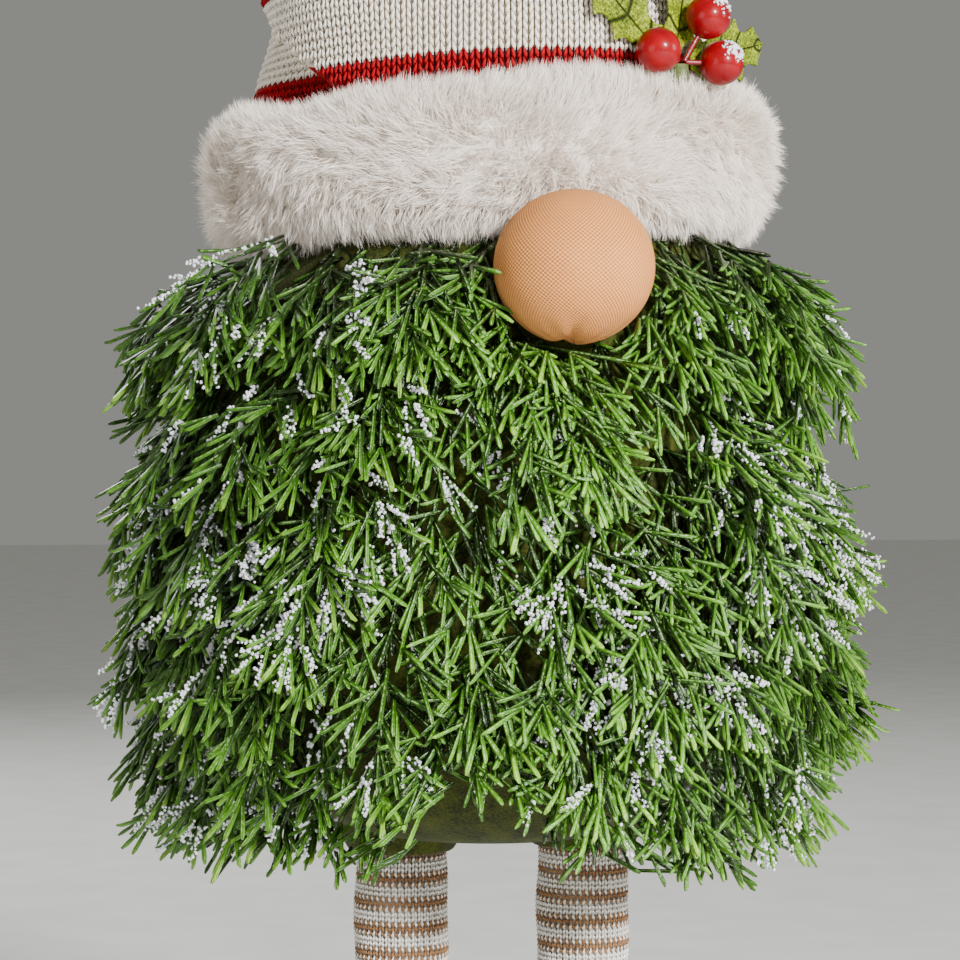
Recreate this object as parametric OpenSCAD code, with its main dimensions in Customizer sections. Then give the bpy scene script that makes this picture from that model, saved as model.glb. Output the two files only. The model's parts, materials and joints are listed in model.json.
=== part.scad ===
// Standing tomte gnome: weighted boots, sock legs on steel rods, a felt body under a beard of
// pine sprays, a covered nose, a fur-cuffed knitted hat with a wired tip, and a holly pick.
// Millimetres. The floor is z = 0, the body's axis is x = y = 0 and the gnome faces -Y.

/* [Body] */
// Height of the body's underside above the floor
body_z = 190; // [160:1:240]
// Widest radius of the felt body
body_r = 92; // [76:1:112]
// Height of the felt body
body_h = 230; // [200:1:280]
// Radius of the flat patch under the body
body_foot_r = 32; // [25:1:45]
// Height of the rounded underside
body_round_h = 75; // [55:1:90]
// Height of the rounded shoulder
shoulder_h = 100; // [80:1:120]
// Radius of the flat patch on top of the body
crown_r = 20; // [14:1:26]
// Thickness of the felt cover
felt_t = 2; // [1:0.5:3]
// Radius of the felt stub that the leg comes out of, where it leaves the body
stub_r = 27; // [20:1:32]
// Drop of the felt stubs below the body's underside
stub_drop = 4; // [2:1:10]

/* [Skeleton] */
// Radius of the plywood hip plate
plate_r = 50; // [42:1:58]
// Thickness of the hip plate
plate_t = 12; // [9:1:18]
// Height of the hip plate's lower face above the body's underside
plate_rise = 16; // [12:1:24]
// Radius of the wooden spine dowel
dowel_r = 9; // [6:0.5:12]
// Radius of a leg rod
rod_r = 4; // [3:0.5:6]
// Distance of each leg's axis from the middle
hip_x = 31; // [28:0.5:40]
// Distance of the legs' axes in front of the body's axis
hip_forward = 6; // [0:1:15]

/* [Legs] */
// Radius of the foam sleeve on a leg rod
foam_r = 13.3; // [10:0.1:18]
// Thickness of the knitted sock
sock_t = 1.7; // [1:0.1:3]
// Height in the boot at which the sock and the foam start
sock_z = 34; // [28:1:44]

/* [Boots] */
// Half width of a boot
boot_r = 27.5; // [22:0.5:28]
// Distance from the leg's axis to the middle of the toe's round
toe_reach = 46; // [36:1:60]
// Distance from the leg's axis to the middle of the heel's round
heel_reach = 16; // [8:1:24]
// Height of the boot's top edge
boot_h = 62; // [50:1:76]
// Gap between the sock and the boot's felt at the ankle
ankle_gap = 2.3; // [1:0.1:4]
// Thickness of the sole
sole_t = 6; // [4:1:10]
// Thickness of the boot's felt
boot_felt_t = 2.5; // [1.5:0.5:4]
// Thickness of the iron ballast plate
ballast_t = 14; // [8:1:18]
// Height of the rolled edge at the boot's top
roll_h = 9; // [6:1:12]

/* [Beard] */
// Number of rings of sprays
tier_count = 8; // [6:1:9]
// Reach of the beard beyond the body's widest radius
beard_reach = 35; // [26:1:45]
// Reach of the top ring of sprays beyond the body's widest radius
beard_top_reach = 24; // [18:1:30]
// Reach of the bottom ring of sprays beyond the body's widest radius
beard_hem_reach = 8; // [2:1:16]
// Gap between the cuff and the top ring of sprays
beard_gap = 6; // [3:1:12]
// Height of the hem's root above the body's underside
hem_root = 20; // [12:1:30]
// Drop of the top ring from root to tip
top_drop = 26; // [18:1:34]
// Drop of the hem from root to tip
hem_drop = 38; // [28:1:46]
// Height of a spray ring's edge
spray_t = 3.5; // [2:0.5:5]

/* [Nose] */
// Radius of the nose
nose_r = 24; // [18:0.5:29]
// How far the nose presses into the fur above it
nose_tuck = 1.5; // [0.5:0.25:3]
// Thickness of the nose's knitted cover
nose_skin_t = 1.2; // [0.8:0.2:2]
// Radius of the peg that holds the nose
peg_r = 3; // [2:0.5:5]
// Length of the peg on each side of the nose's back
peg_grip = 18; // [12:1:24]
// How far the nose's round would reach into the felt, were its back not flat
nose_press = 3.5; // [1:0.5:5]

/* [Hat] */
// Height of the body's top above the cuff's lower edge
cuff_drop = 36; // [30:1:42]
// Height of the fur cuff
cuff_h = 46; // [40:1:56]
// Thickness of the cuff from the hat outwards
cuff_t = 16; // [15:0.5:22]
// Radius of each of the cuff's two rolls
cuff_lobe_r = 14; // [12.5:0.5:14.5]
// Thickness of the fur's backing
fur_t = 2; // [1:0.5:3]
// Gap between the felt body and the band inside the brim
brim_gap = 1.3; // [0.5:0.1:3]
// Thickness of the knit
knit_t = 1.8; // [1:0.1:3]
// Thickness of the card liner
liner_t = 1.2; // [0.8:0.2:2]
// Thickness of the brim band
band_t = 1.2; // [0.8:0.1:1.6]
// Height of the upright part of the hat above the cuff's lower edge
hat_upright_h = 70; // [56:1:86]
// Height of the lower bend above the cuff's lower edge
bend_rise = 191; // [165:1:230]
// Radius of the hat at the lower bend
bend_r = 45; // [36:1:54]
// Radius of the hat's round at the upper bend
knuckle_r = 25; // [20:0.5:29]
// Length of the hat between its two bends
mid_len = 80; // [70:1:98]
// Lean of the hat above the lower bend
mid_lean = 15; // [5:1:20]
// Lean of the hat's tip
tip_lean = 90; // [80:1:92]
// Length of the tip from the upper bend
tip_len = 80; // [68:1:84]
// Radius of the tip next to the upper bend
tip_root_r = 17; // [13:0.5:18]
// Radius of the tip's end
tip_end_r = 7; // [5:0.5:9]
// Space left around the lower bend
bend_gap = 13; // [12:1:16]
// Space left around the upper bend's round
knuckle_gap = 5; // [4:1:8]
// Radius of the hat's wire
wire_r = 1.6; // [1:0.2:2.4]
// Radius of the pompom
pompom_r = 22; // [18:0.5:24]
// Distance of the pompom's middle below the tip's end
pompom_drop = 34; // [33:1:42]
// Radius of the pompom's cord
cord_r = 1; // [0.6:0.2:1.6]

/* [Holly] */
// Radius of a berry
berry_r = 7; // [5:0.1:7]
// Length of a holly leaf
leaf_len = 44; // [34:1:54]
// Half width of a holly leaf
leaf_half_w = 11; // [8:0.5:14]
// Thickness of a holly leaf
leaf_t = 0.9; // [0.5:0.1:1.1]
// Angle of the holly pick from the front, towards +X
holly_angle = 31; // [20:1:60]
// Radius of the pick's wire
pick_r = 1.5; // [1:0.1:2]
// Radius of the berry and leaf stems
stem_r = 0.8; // [0.5:0.1:1]

/* [Hidden] */
fit = 0.2;
bore_fit = 0.1;
over = 1;
$fn = 96;
arc_steps = 12;
ballast_gap = 5;
stub_sink = 12.5;
screw_grip = 30;
dowel_gap = 80;
wire_socket = 40;
wire_gap = 0.5;
liner_rise = 30;
hat_tuck = 4;
hat_curve = 1.35;
band_rise = 8;
band_h = 18;
cord_gap = 2.5;
beard_wide = 0.55;
spray_gap = 1.5;
nose_flat = 0.85;
nose_drop = 14;
nut_r = 7.5;
nut_h = 6.5;
washer_r = 9;
washer_t = 1.5;
screw_r = 2.5;
screw_head_r = 5;
screw_head_h = 3;
leaf_spines = 4;
leaf_notch = 0.62;
leaf_stalk = 5;
leaf_stands = [0.8, 3, 4.4];
leaf_stem_gap = 0.9;
leaf_blunt = 0.7;
leaf_start = 0.08;
pick_rise = 8;
tape_gap = 0.5;

sides = ["left", "right"];
tier_names = [for (i = [1:tier_count]) str("beard_tier_", i)];
leaf_names = ["holly_leaf_1", "holly_leaf_2", "holly_leaf_3"];
berry_names = ["berry_1", "berry_2", "berry_3"];

// Heights that several pieces share
body_top = body_z + body_h;
shoulder_z = body_top - shoulder_h;
plate_z = body_z + plate_rise;
plate_top = plate_z + plate_t;
nut_top = plate_top + washer_t + nut_h;
cuff_z = body_top - cuff_drop;
cuff_top = cuff_z + cuff_h;
bend_z = cuff_z + bend_rise;
dowel_top = bend_z - dowel_gap;
sock_top = plate_z - nut_h - over;
liner_z = cuff_z + liner_rise;

// The two bends of the hat, and the tip's end
lower_bend = [0, 0, bend_z];
upper_bend = lower_bend + mid_len * [-sin(mid_lean), 0, cos(mid_lean)];
tip_end = upper_bend + tip_len * [-sin(tip_lean), 0, cos(tip_lean)];

// Outer radius of the felt body at height z
function body_radius(z) =
    z < body_z + body_round_h
        ? body_foot_r + (body_r - body_foot_r) * quarter((body_z + body_round_h - z) / body_round_h)
    : z > shoulder_z
        ? crown_r + (body_r - crown_r) * quarter((z - shoulder_z) / shoulder_h)
    : body_r;
function quarter(t) = sqrt(max(0, 1 - t * t));

// Radii that follow from the pieces inside
sock_r = foam_r + fit + sock_t;
ankle_r = sock_r + ankle_gap + boot_felt_t;
hat_r = body_radius(cuff_z + hat_tuck) + brim_gap + band_t + fit + knit_t;
cuff_in_r = hat_r + fit;

// Outer radius of the knitted hat at height z, up to the lower bend
function hat_radius(z) =
    let (start = cuff_z + hat_upright_h, t = max(0, (z - start) / (bend_z - start)))
    hat_r - (hat_r - bend_r) * pow(t, hat_curve);

// Middle of the nose, which is pressed a little against the felt and into the cuff's lower roll
nose_out = body_radius(cuff_z - nose_drop) + nose_r - nose_press;
roll_out = cuff_in_r + cuff_t - cuff_lobe_r;
nose_z = cuff_z + cuff_lobe_r
    - sqrt(pow(nose_r + cuff_lobe_r - nose_tuck, 2) - pow(nose_out - roll_out, 2));
nose_at = [0, -nose_out, nose_z];

// A point at radius r, angle a from the front towards +X, and height z
function around(r, a, z) = [r * sin(a), -r * cos(a), z];

// Each berry's middle: radius beyond the hat, angle from the pick, height above the cuff's top
berry_places = [[10.9, -9, 8.7], [12.9, 4.1, 21], [13.9, 7.8, 7.2]];
berry_at = [for (b = berry_places)
    around(hat_r + b[0], holly_angle + b[1], cuff_top + b[2])];
// Each leaf's direction in the plane that touches the hat, and that plane's angle from the pick
leaf_turns = [140, 80, 15];
leaf_planes = [-12, -2, 12];
pick_stand = 6.2;
tape_h = 6;
tape_r = 3;
stem_root = around(hat_r + pick_stand, holly_angle, cuff_top + tape_h);
// The stems stand in a ring on the pick's end, those of the berries and those of the leaves
stem_ring = 2.1;
berry_turns = [150, 85, 30];
leaf_stem_turns = [215, 280, 340];
function stem_start(turn) = stem_root
    + stem_ring * [cos(holly_angle) * cos(turn) + sin(holly_angle) * sin(turn),
                   sin(holly_angle) * cos(turn) - cos(holly_angle) * sin(turn), 0]
    + [0, 0, stem_r + fit];

// A cylinder from point a towards point b, which it misses by the gap
module rod_between(a, b, r, gap = 0) {
    d = b - a;
    length = norm(d);
    translate(a)
        rotate([0, acos(d[2] / length), atan2(d[1], d[0])])
            cylinder(r = r, h = length - gap);
}

module at_leg(i) {
    translate([(i == 0 ? -1 : 1) * hip_x, -hip_forward, 0]) children();
}

// The boot's outline seen from above, made smaller by inset
module boot_outline(inset) {
    translate([0, -toe_reach]) circle(r = boot_r - inset);
    translate([0, heel_reach]) circle(r = boot_r - inset);
    translate([-(boot_r - inset), -toe_reach]) square([2 * (boot_r - inset), toe_reach + heel_reach]);
}

// The foot's rounded body above the sole, made smaller by inset
module boot_form(inset) {
    r = boot_r - inset;
    difference() {
        union() {
            translate([0, -toe_reach, sole_t]) sphere(r = r);
            translate([0, heel_reach, sole_t]) sphere(r = r);
            translate([0, heel_reach, sole_t])
                rotate([90, 0, 0])
                    cylinder(r = r, h = toe_reach + heel_reach);
            translate([0, 0, sole_t]) cylinder(r1 = r - over, r2 = ankle_r - inset, h = boot_h - sole_t);
        }
        translate([-2 * boot_r, -toe_reach - 2 * boot_r, -4 * boot_r + sole_t])
            cube([4 * boot_r, toe_reach + heel_reach + 4 * boot_r, 4 * boot_r]);
    }
}

module boot_sole(i) {
    color("dimgray") at_leg(i) difference() {
        linear_extrude(sole_t) boot_outline(-1);
        sole_screw_holes(screw_r + bore_fit, screw_head_r + bore_fit, screw_head_h + over);
    }
}

// The screws' shape, used for the screws and, larger, for their holes
module sole_screw_holes(r, head_r, head_h) {
    for (y = [-toe_reach, heel_reach]) translate([0, y, 0]) {
        cylinder(r = r, h = sole_t + ballast_t / 2);
        cylinder(r = head_r, h = head_h);
    }
}

module sole_screws() {
    color("silver") for (i = [0, 1]) at_leg(i)
        translate([0, 0, over]) sole_screw_holes(screw_r, screw_head_r, screw_head_h);
}

module boot_ballast(i) {
    color("#55585a") at_leg(i) difference() {
        translate([0, 0, sole_t + fit]) linear_extrude(ballast_t) boot_outline(boot_felt_t + ballast_gap);
        translate([0, 0, over]) sole_screw_holes(screw_r + bore_fit, screw_head_r, screw_head_h);
        translate([0, 0, sole_t]) cylinder(r = rod_r + bore_fit, h = ballast_t + over);
    }
}

module boot_upper(i) {
    color("#5d6424") at_leg(i) difference() {
        boot_form(0);
        boot_form(boot_felt_t);
        cylinder(r = ankle_r - boot_felt_t, h = boot_h + over);
    }
}

module boot_stuffing(i) {
    color("ivory") at_leg(i) difference() {
        boot_form(boot_felt_t + fit);
        linear_extrude(sole_t + ballast_t + 2 * fit) boot_outline(boot_felt_t + ballast_gap - fit);
        cylinder(r = rod_r + bore_fit, h = boot_h + over);
        translate([0, 0, sock_z - fit]) cylinder(r = sock_r + fit, h = boot_h);
    }
}

// The rolled felt edge that closes the boot's top on the sock
module boot_roll(i) {
    color("#4c5420") at_leg(i) translate([0, 0, boot_h + fit]) rotate_extrude()
        intersection() {
            translate([sock_r + fit, 0]) square([boot_r, roll_h]);
            translate([sock_r + fit, roll_h / 2]) circle(r = roll_h / 2);
        }
}

module leg_rod(i) {
    color("silver") at_leg(i)
        translate([0, 0, sole_t + fit]) cylinder(r = rod_r, h = nut_top + over - sole_t);
}

module leg_foam(i) {
    color("whitesmoke") at_leg(i) translate([0, 0, sock_z]) difference() {
        cylinder(r = foam_r, h = sock_top - sock_z);
        translate([0, 0, -over]) cylinder(r = rod_r + bore_fit, h = sock_top);
    }
}

module leg_sock(i) {
    color("#cdb79c") at_leg(i) translate([0, 0, sock_z]) difference() {
        cylinder(r = sock_r, h = sock_top - sock_z);
        translate([0, 0, -over]) cylinder(r = foam_r + fit, h = sock_top);
    }
}

module hip_plate() {
    color("burlywood") difference() {
        translate([0, 0, plate_z]) cylinder(r = plate_r, h = plate_t);
        for (i = [0, 1]) at_leg(i) cylinder(r = rod_r + bore_fit, h = plate_top + over);
        cylinder(r = screw_r + bore_fit, h = plate_top + over);
        translate([0, 0, plate_z - over]) cylinder(r = screw_head_r + bore_fit, h = screw_head_h + over);
    }
}

module rod_nuts() {
    color("silver") for (i = [0, 1]) at_leg(i)
        for (z = [plate_z - nut_h, plate_top + washer_t]) translate([0, 0, z]) difference() {
            cylinder(r = nut_r, h = nut_h, $fn = 6);
            translate([0, 0, -over]) cylinder(r = rod_r + bore_fit, h = nut_h + 2 * over);
        }
}

module rod_washers() {
    color("silver") for (i = [0, 1]) at_leg(i) translate([0, 0, plate_top]) difference() {
        cylinder(r = washer_r, h = washer_t);
        translate([0, 0, -over]) cylinder(r = rod_r + bore_fit, h = washer_t + 2 * over);
    }
}

module spine_dowel() {
    color("burlywood") difference() {
        translate([0, 0, plate_top]) cylinder(r = dowel_r, h = dowel_top - plate_top);
        cylinder(r = screw_r + bore_fit, h = plate_top + screw_grip + over);
        translate([0, 0, dowel_top - wire_socket]) cylinder(r = wire_r + bore_fit, h = wire_socket + over);
    }
}

module dowel_screw() {
    color("silver") {
        translate([0, 0, plate_z]) cylinder(r = screw_r, h = plate_t + screw_grip);
        translate([0, 0, plate_z]) cylinder(r = screw_head_r, h = screw_head_h);
    }
}

// The body's egg, made smaller by inset
module egg(inset) {
    low = body_z + inset;
    high = body_top - inset;
    wide = body_r - inset;
    below = [for (i = [0:arc_steps]) let (a = 90 * i / arc_steps)
        [body_foot_r + (wide - body_foot_r) * sin(a),
         body_z + body_round_h - (body_z + body_round_h - low) * cos(a)]];
    above = [for (i = [0:arc_steps]) let (a = 90 * i / arc_steps)
        [crown_r + (wide - crown_r) * cos(a), shoulder_z + (high - shoulder_z) * sin(a)]];
    rotate_extrude() polygon(concat([[0, low]], below, above, [[0, high]]));
}

// The hole for the nose's peg, or the peg itself, from inside the nose into the body
module nose_peg_form(r) {
    translate([0, nose_at[1] + nose_r - peg_grip, nose_at[2]])
        rotate([-90, 0, 0])
            cylinder(r = r, h = 2 * peg_grip);
}

module body_core() {
    color("whitesmoke") difference() {
        egg(felt_t + fit);
        translate([0, 0, body_z]) cylinder(r = plate_r + fit, h = plate_top - body_z);
        for (i = [0, 1]) at_leg(i)
            translate([0, 0, body_z]) cylinder(r = washer_r + fit, h = nut_top + 2 * over - body_z);
        for (i = [0, 1]) at_leg(i)
            translate([0, 0, body_z]) cylinder(r = sock_r + fit, h = sock_top - body_z);
        cylinder(r = dowel_r + bore_fit, h = body_top + over);
        nose_peg_form(peg_r + bore_fit);
    }
}

module body_cover() {
    color("#5a611f") difference() {
        union() {
            egg(0);
            for (i = [0, 1]) at_leg(i) translate([0, 0, body_z - stub_drop])
                cylinder(r1 = sock_r + fit + felt_t, r2 = stub_r, h = stub_drop + stub_sink);
        }
        egg(felt_t);
        for (i = [0, 1]) at_leg(i)
            cylinder(r = sock_r + fit, h = plate_z);
        cylinder(r = dowel_r + bore_fit, h = body_top + over);
        nose_peg_form(peg_r + bore_fit);
    }
}

// A ring of sprays: rooted in the felt, and hanging outwards to the beard's outline
tier_top = cuff_z - beard_gap;
tier_step = (tier_top - body_z - hem_root) / (tier_count - 1);
function tier_root_z(k) = tier_top - tier_step * k;
function tier_drop(k) = top_drop + (hem_drop - top_drop) * k / (tier_count - 1);
// The outline swells from the top ring to the widest, a bit below the middle, and in again
function tier_reach(k) =
    let (u = k / (tier_count - 1))
    body_r + (u < beard_wide
        ? beard_top_reach + (beard_reach - beard_top_reach) * sin(90 * u / beard_wide)
        : beard_hem_reach
            + (beard_reach - beard_hem_reach) * cos(90 * (u - beard_wide) / (1 - beard_wide)));

module beard_tier(k) {
    z = tier_root_z(k);
    root_r = max(body_radius(z), body_radius(z - spray_t)) + fit;
    tip_z = z - tier_drop(k);
    color(k % 2 == 0 ? "#3c7a1e" : "#4f9427") difference() {
        rotate_extrude() polygon([
            [root_r, z - spray_t], [tier_reach(k), tip_z],
            [tier_reach(k), tip_z + spray_t], [root_r, z]]);
        translate(nose_at) sphere(r = nose_r + spray_gap);
    }
}

module nose_peg() {
    color("burlywood") nose_peg_form(peg_r);
}

// The nose, flat at its back where it meets the felt, made smaller by inset
nose_back = body_radius(nose_z - nose_flat * nose_r) + fit;
module nose_form(inset) {
    depth = nose_r - nose_at[1] - nose_back;
    translate(nose_at) rotate([-90, 0, 0]) rotate_extrude() intersection() {
        circle(r = nose_r - inset);
        translate([0, -nose_r]) square([nose_r, depth - inset]);
    }
}

module nose_core() {
    color("whitesmoke") difference() {
        nose_form(nose_skin_t + fit);
        nose_peg_form(peg_r + bore_fit);
    }
}

module nose_cover() {
    color("#d3a87c") difference() {
        nose_form(0);
        nose_form(nose_skin_t);
        nose_peg_form(peg_r + bore_fit);
    }
}

// The cuff's section: two soft rolls, one above the other, flat against the hat
module cuff_section(inset) {
    middle = cuff_in_r + cuff_t - cuff_lobe_r;
    for (z = [cuff_z + cuff_lobe_r, cuff_top - cuff_lobe_r])
        translate([middle, z]) intersection() {
            circle(r = cuff_lobe_r - inset);
            translate([cuff_in_r + inset - middle, -cuff_lobe_r]) square(2 * cuff_lobe_r);
        }
    translate([cuff_in_r + inset, cuff_z + cuff_lobe_r])
        square([cuff_t - cuff_lobe_r + cuff_lobe_r / 2 - inset, cuff_h - 2 * cuff_lobe_r]);
}

module pick_hole() {
    translate(around(hat_r + pick_stand, holly_angle, cuff_z)) cylinder(r = pick_r + bore_fit, h = cuff_h + over);
}

// The fur and its padding give way to the nose
module cuff_padding() {
    color("ivory") difference() {
        rotate_extrude() cuff_section(fur_t + fit);
        translate(nose_at) sphere(r = nose_r + fur_t + 2 * fit);
        pick_hole();
    }
}

module cuff_fur() {
    color("snow") difference() {
        rotate_extrude() difference() {
            cuff_section(0);
            cuff_section(fur_t);
        }
        translate(nose_at) sphere(r = nose_r + fit);
        pick_hole();
    }
}

module brim_band() {
    outer_r = hat_r - knit_t - fit;
    color("ghostwhite") translate([0, 0, cuff_z + band_rise]) difference() {
        cylinder(r = outer_r, h = band_h);
        translate([0, 0, -over]) cylinder(r = outer_r - band_t, h = band_h + 2 * over);
    }
}

// A wall that follows the hat's outline, inset from it, from height z0 to the lower bend's gap
module hat_wall(z0, inset, thick) {
    start = cuff_z + hat_upright_h;
    curved = [for (i = [0:arc_steps]) start + (bend_z - bend_gap - start) * i / arc_steps];
    outer = [for (z = concat([z0], curved)) [hat_radius(z) - inset, z]];
    inner = [for (i = [arc_steps + 1:-1:0]) outer[i] - [thick, 0]];
    rotate_extrude() polygon(concat(outer, inner));
}

module hat_knit_lower() {
    color("#e9e2d6") hat_wall(cuff_z + hat_tuck, 0, knit_t);
}

module hat_liner() {
    color("tan") hat_wall(liner_z, knit_t + fit, liner_t);
}

module hat_wire_lower() {
    start = dowel_top - wire_socket + over;
    color("silver") translate([0, 0, start]) cylinder(r = wire_r, h = bend_z - wire_gap - start);
}

module on_lower_bend() {
    translate(lower_bend) rotate([0, -mid_lean, 0]) children();
}

module on_upper_bend() {
    translate(upper_bend) rotate([0, -tip_lean, 0]) children();
}

// The hat between its bends, with a round top about the upper bend, made smaller by inset
module mid_form(inset) {
    round_r = knuckle_r - inset;
    top = [for (i = [0:arc_steps]) let (a = 90 * i / arc_steps)
        [round_r * cos(a), mid_len + round_r * sin(a)]];
    rotate_extrude() polygon(concat([[0, bend_gap + inset], [bend_r - inset, bend_gap + inset]], top));
}

// The hat's tip, with a round end, made smaller by inset
module tip_form(inset) {
    end_r = tip_end_r - inset;
    root_z = knuckle_r + knuckle_gap + inset;
    end = [for (i = [0:arc_steps]) let (a = 90 * i / arc_steps)
        [end_r * cos(a), tip_len + end_r * sin(a)]];
    rotate_extrude() polygon(concat([[0, root_z], [tip_root_r - inset, root_z]], end));
}

module hat_knit_mid() {
    color("#b3121f") on_lower_bend() difference() {
        mid_form(0);
        mid_form(knit_t);
        cylinder(r = wire_r + bore_fit, h = bend_gap + knit_t + over);
    }
}

module hat_stuffing_mid() {
    color("ivory") on_lower_bend() difference() {
        mid_form(knit_t + fit);
        cylinder(r = wire_r + bore_fit, h = mid_len);
    }
}

module hat_wire_mid() {
    color("silver") on_lower_bend() translate([0, 0, wire_gap]) cylinder(r = wire_r, h = mid_len - over);
}

module hat_knit_tip() {
    color("#e9e2d6") on_upper_bend() difference() {
        tip_form(0);
        tip_form(knit_t);
    }
}

module hat_stuffing_tip() {
    color("ivory") on_upper_bend() difference() {
        tip_form(knit_t + fit);
        cylinder(r = wire_r + bore_fit, h = tip_len);
    }
}

module hat_wire_tip() {
    start = knuckle_r + knuckle_gap + knit_t + fit;
    color("silver") on_upper_bend() translate([0, 0, start]) cylinder(r = wire_r, h = tip_len - over - start);
}

module pompom() {
    color("snow") translate(tip_end - [0, 0, pompom_drop]) difference() {
        sphere(r = pompom_r);
        cylinder(r = cord_r + bore_fit, h = pompom_r + over);
    }
}

module pompom_cord() {
    color("snow") translate(tip_end - [0, 0, pompom_drop])
        cylinder(r = cord_r, h = pompom_drop - tip_end_r - cord_gap);
}

// One spiny edge of a holly leaf, from its root to its tip
function leaf_edge(side) = [for (i = [0:2 * leaf_spines])
    let (t = i / (2 * leaf_spines), spine = i % 2 == 1 ? 1 : leaf_notch)
    [side * leaf_half_w * spine * leaf_swell(t), leaf_len * t]];
function leaf_swell(t) = pow(sin(180 * (leaf_start + (1 - 2 * leaf_start) * t)), leaf_blunt);

// Places a leaf against the hat: y runs along the leaf, and z points away from the hat
module at_leaf(k) {
    stand = hat_r + leaf_stands[k];
    plane = holly_angle + leaf_planes[k];
    aside = hat_r * sin(leaf_planes[k]);
    rotate([0, 0, plane])
        translate([-aside, -stand, cuff_top + tape_h])
            rotate([90, 0, 0])
                rotate([0, 0, leaf_turns[k] - 90])
                    translate([0, leaf_stalk, 0])
                        children();
}

function reversed(list) = [for (i = [len(list) - 1:-1:0]) list[i]];

module holly_leaf(k) {
    color("#7d8a24") at_leaf(k)
        linear_extrude(leaf_t) polygon(concat(leaf_edge(1), reversed(leaf_edge(-1))));
}

// The point where a leaf's outline starts
function leaf_root(k) =
    let (across = -hat_r * sin(leaf_planes[k]) + leaf_stalk * cos(leaf_turns[k]),
         away = hat_r + leaf_stands[k] + leaf_t / 2,
         plane = holly_angle + leaf_planes[k])
    [across * cos(plane) + away * sin(plane),
     across * sin(plane) - away * cos(plane),
     cuff_top + tape_h + leaf_stalk * sin(leaf_turns[k])];

module berry(k) {
    color("#b80d1c") difference() {
        translate(berry_at[k]) sphere(r = berry_r);
        rod_between(stem_start(berry_turns[k]), berry_at[k], stem_r + bore_fit);
    }
}

module holly_stems() {
    color("#8c1420") for (k = [0:2]) {
        rod_between(stem_start(berry_turns[k]), berry_at[k], stem_r);
        rod_between(stem_start(leaf_stem_turns[k]), leaf_root(k), stem_r, leaf_stem_gap);
    }
}

module pick_wire() {
    color("#4a5a20") translate(around(hat_r + pick_stand, holly_angle, cuff_z + pick_rise))
        cylinder(r = pick_r, h = cuff_h + tape_h - pick_rise);
}

module pick_tape() {
    color("#4a5a20") translate(around(hat_r + pick_stand, holly_angle, cuff_top + tape_gap)) difference() {
        cylinder(r = tape_r, h = tape_h - tape_gap);
        translate([0, 0, -over]) cylinder(r = pick_r + bore_fit, h = tape_h + over);
    }
}

for (i = [0, 1]) {
    boot_sole(i);
    boot_ballast(i);
    boot_upper(i);
    boot_stuffing(i);
    boot_roll(i);
    leg_rod(i);
    leg_foam(i);
    leg_sock(i);
}
sole_screws();
hip_plate();
rod_nuts();
rod_washers();
spine_dowel();
dowel_screw();
body_core();
body_cover();
for (k = [0:tier_count - 1])
    beard_tier(k);
nose_peg();
nose_core();
nose_cover();
cuff_padding();
cuff_fur();
brim_band();
hat_knit_lower();
hat_liner();
hat_wire_lower();
hat_knit_mid();
hat_stuffing_mid();
hat_wire_mid();
hat_knit_tip();
hat_stuffing_tip();
hat_wire_tip();
pompom();
pompom_cord();
for (k = [0:2]) {
    holly_leaf(k);
    berry(k);
}
holly_stems();
pick_wire();
pick_tape();
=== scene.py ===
import json
import math

import bpy
import numpy as np
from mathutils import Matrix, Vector


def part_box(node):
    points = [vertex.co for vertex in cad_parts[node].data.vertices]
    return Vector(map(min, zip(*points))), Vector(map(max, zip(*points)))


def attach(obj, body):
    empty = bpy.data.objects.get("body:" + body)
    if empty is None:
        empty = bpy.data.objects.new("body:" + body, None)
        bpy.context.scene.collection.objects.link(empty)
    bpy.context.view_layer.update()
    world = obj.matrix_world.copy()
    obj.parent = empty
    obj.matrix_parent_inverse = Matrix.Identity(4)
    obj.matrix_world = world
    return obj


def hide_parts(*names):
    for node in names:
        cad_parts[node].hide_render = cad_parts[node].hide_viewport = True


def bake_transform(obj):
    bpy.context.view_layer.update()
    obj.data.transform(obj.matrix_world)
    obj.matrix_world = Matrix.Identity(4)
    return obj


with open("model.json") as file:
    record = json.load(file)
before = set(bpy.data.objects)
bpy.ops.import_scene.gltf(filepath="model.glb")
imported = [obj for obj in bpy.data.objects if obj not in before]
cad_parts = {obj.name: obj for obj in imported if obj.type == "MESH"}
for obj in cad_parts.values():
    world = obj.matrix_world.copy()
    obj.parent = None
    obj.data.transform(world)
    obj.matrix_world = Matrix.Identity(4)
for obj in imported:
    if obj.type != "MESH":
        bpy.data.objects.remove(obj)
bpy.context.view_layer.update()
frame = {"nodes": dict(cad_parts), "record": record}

MM = 0.001
draw = np.random.default_rng(24)


# ------------------------------------------------------------------ places and sizes
def middle(node):
    low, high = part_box(node)
    return (low + high) / 2


joint_at = {j["name"]: Vector(j["pos_m"]) for j in frame["record"]["behaviour"]["joints"]}
lower_bend = joint_at["hat_lower_bend"]
upper_bend = joint_at["hat_upper_bend"]
tip_end = joint_at["pompom_swing"]

body_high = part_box("body_cover")[1]
body_r = body_high.x
body_top = body_high.z
body_bottom = body_top - 230 * MM
body_foot_r = 32 * MM
body_round_h = 75 * MM
shoulder_h = 100 * MM
crown_r = 20 * MM

cuff_low, cuff_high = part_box("cuff_fur")
cuff_r = cuff_high.x
cuff_z = cuff_low.z
cuff_h = cuff_high.z - cuff_low.z
hat_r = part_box("hat_knit_lower")[1].x
nose_low, nose_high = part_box("nose_cover")
nose_r = nose_high.x
nose_at = Vector((0, nose_low.y + nose_r, (nose_low.z + nose_high.z) / 2))

# The whole cuff and the hat's brim hang a little lower on the viewer's left
brim_slope = 0.045


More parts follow.
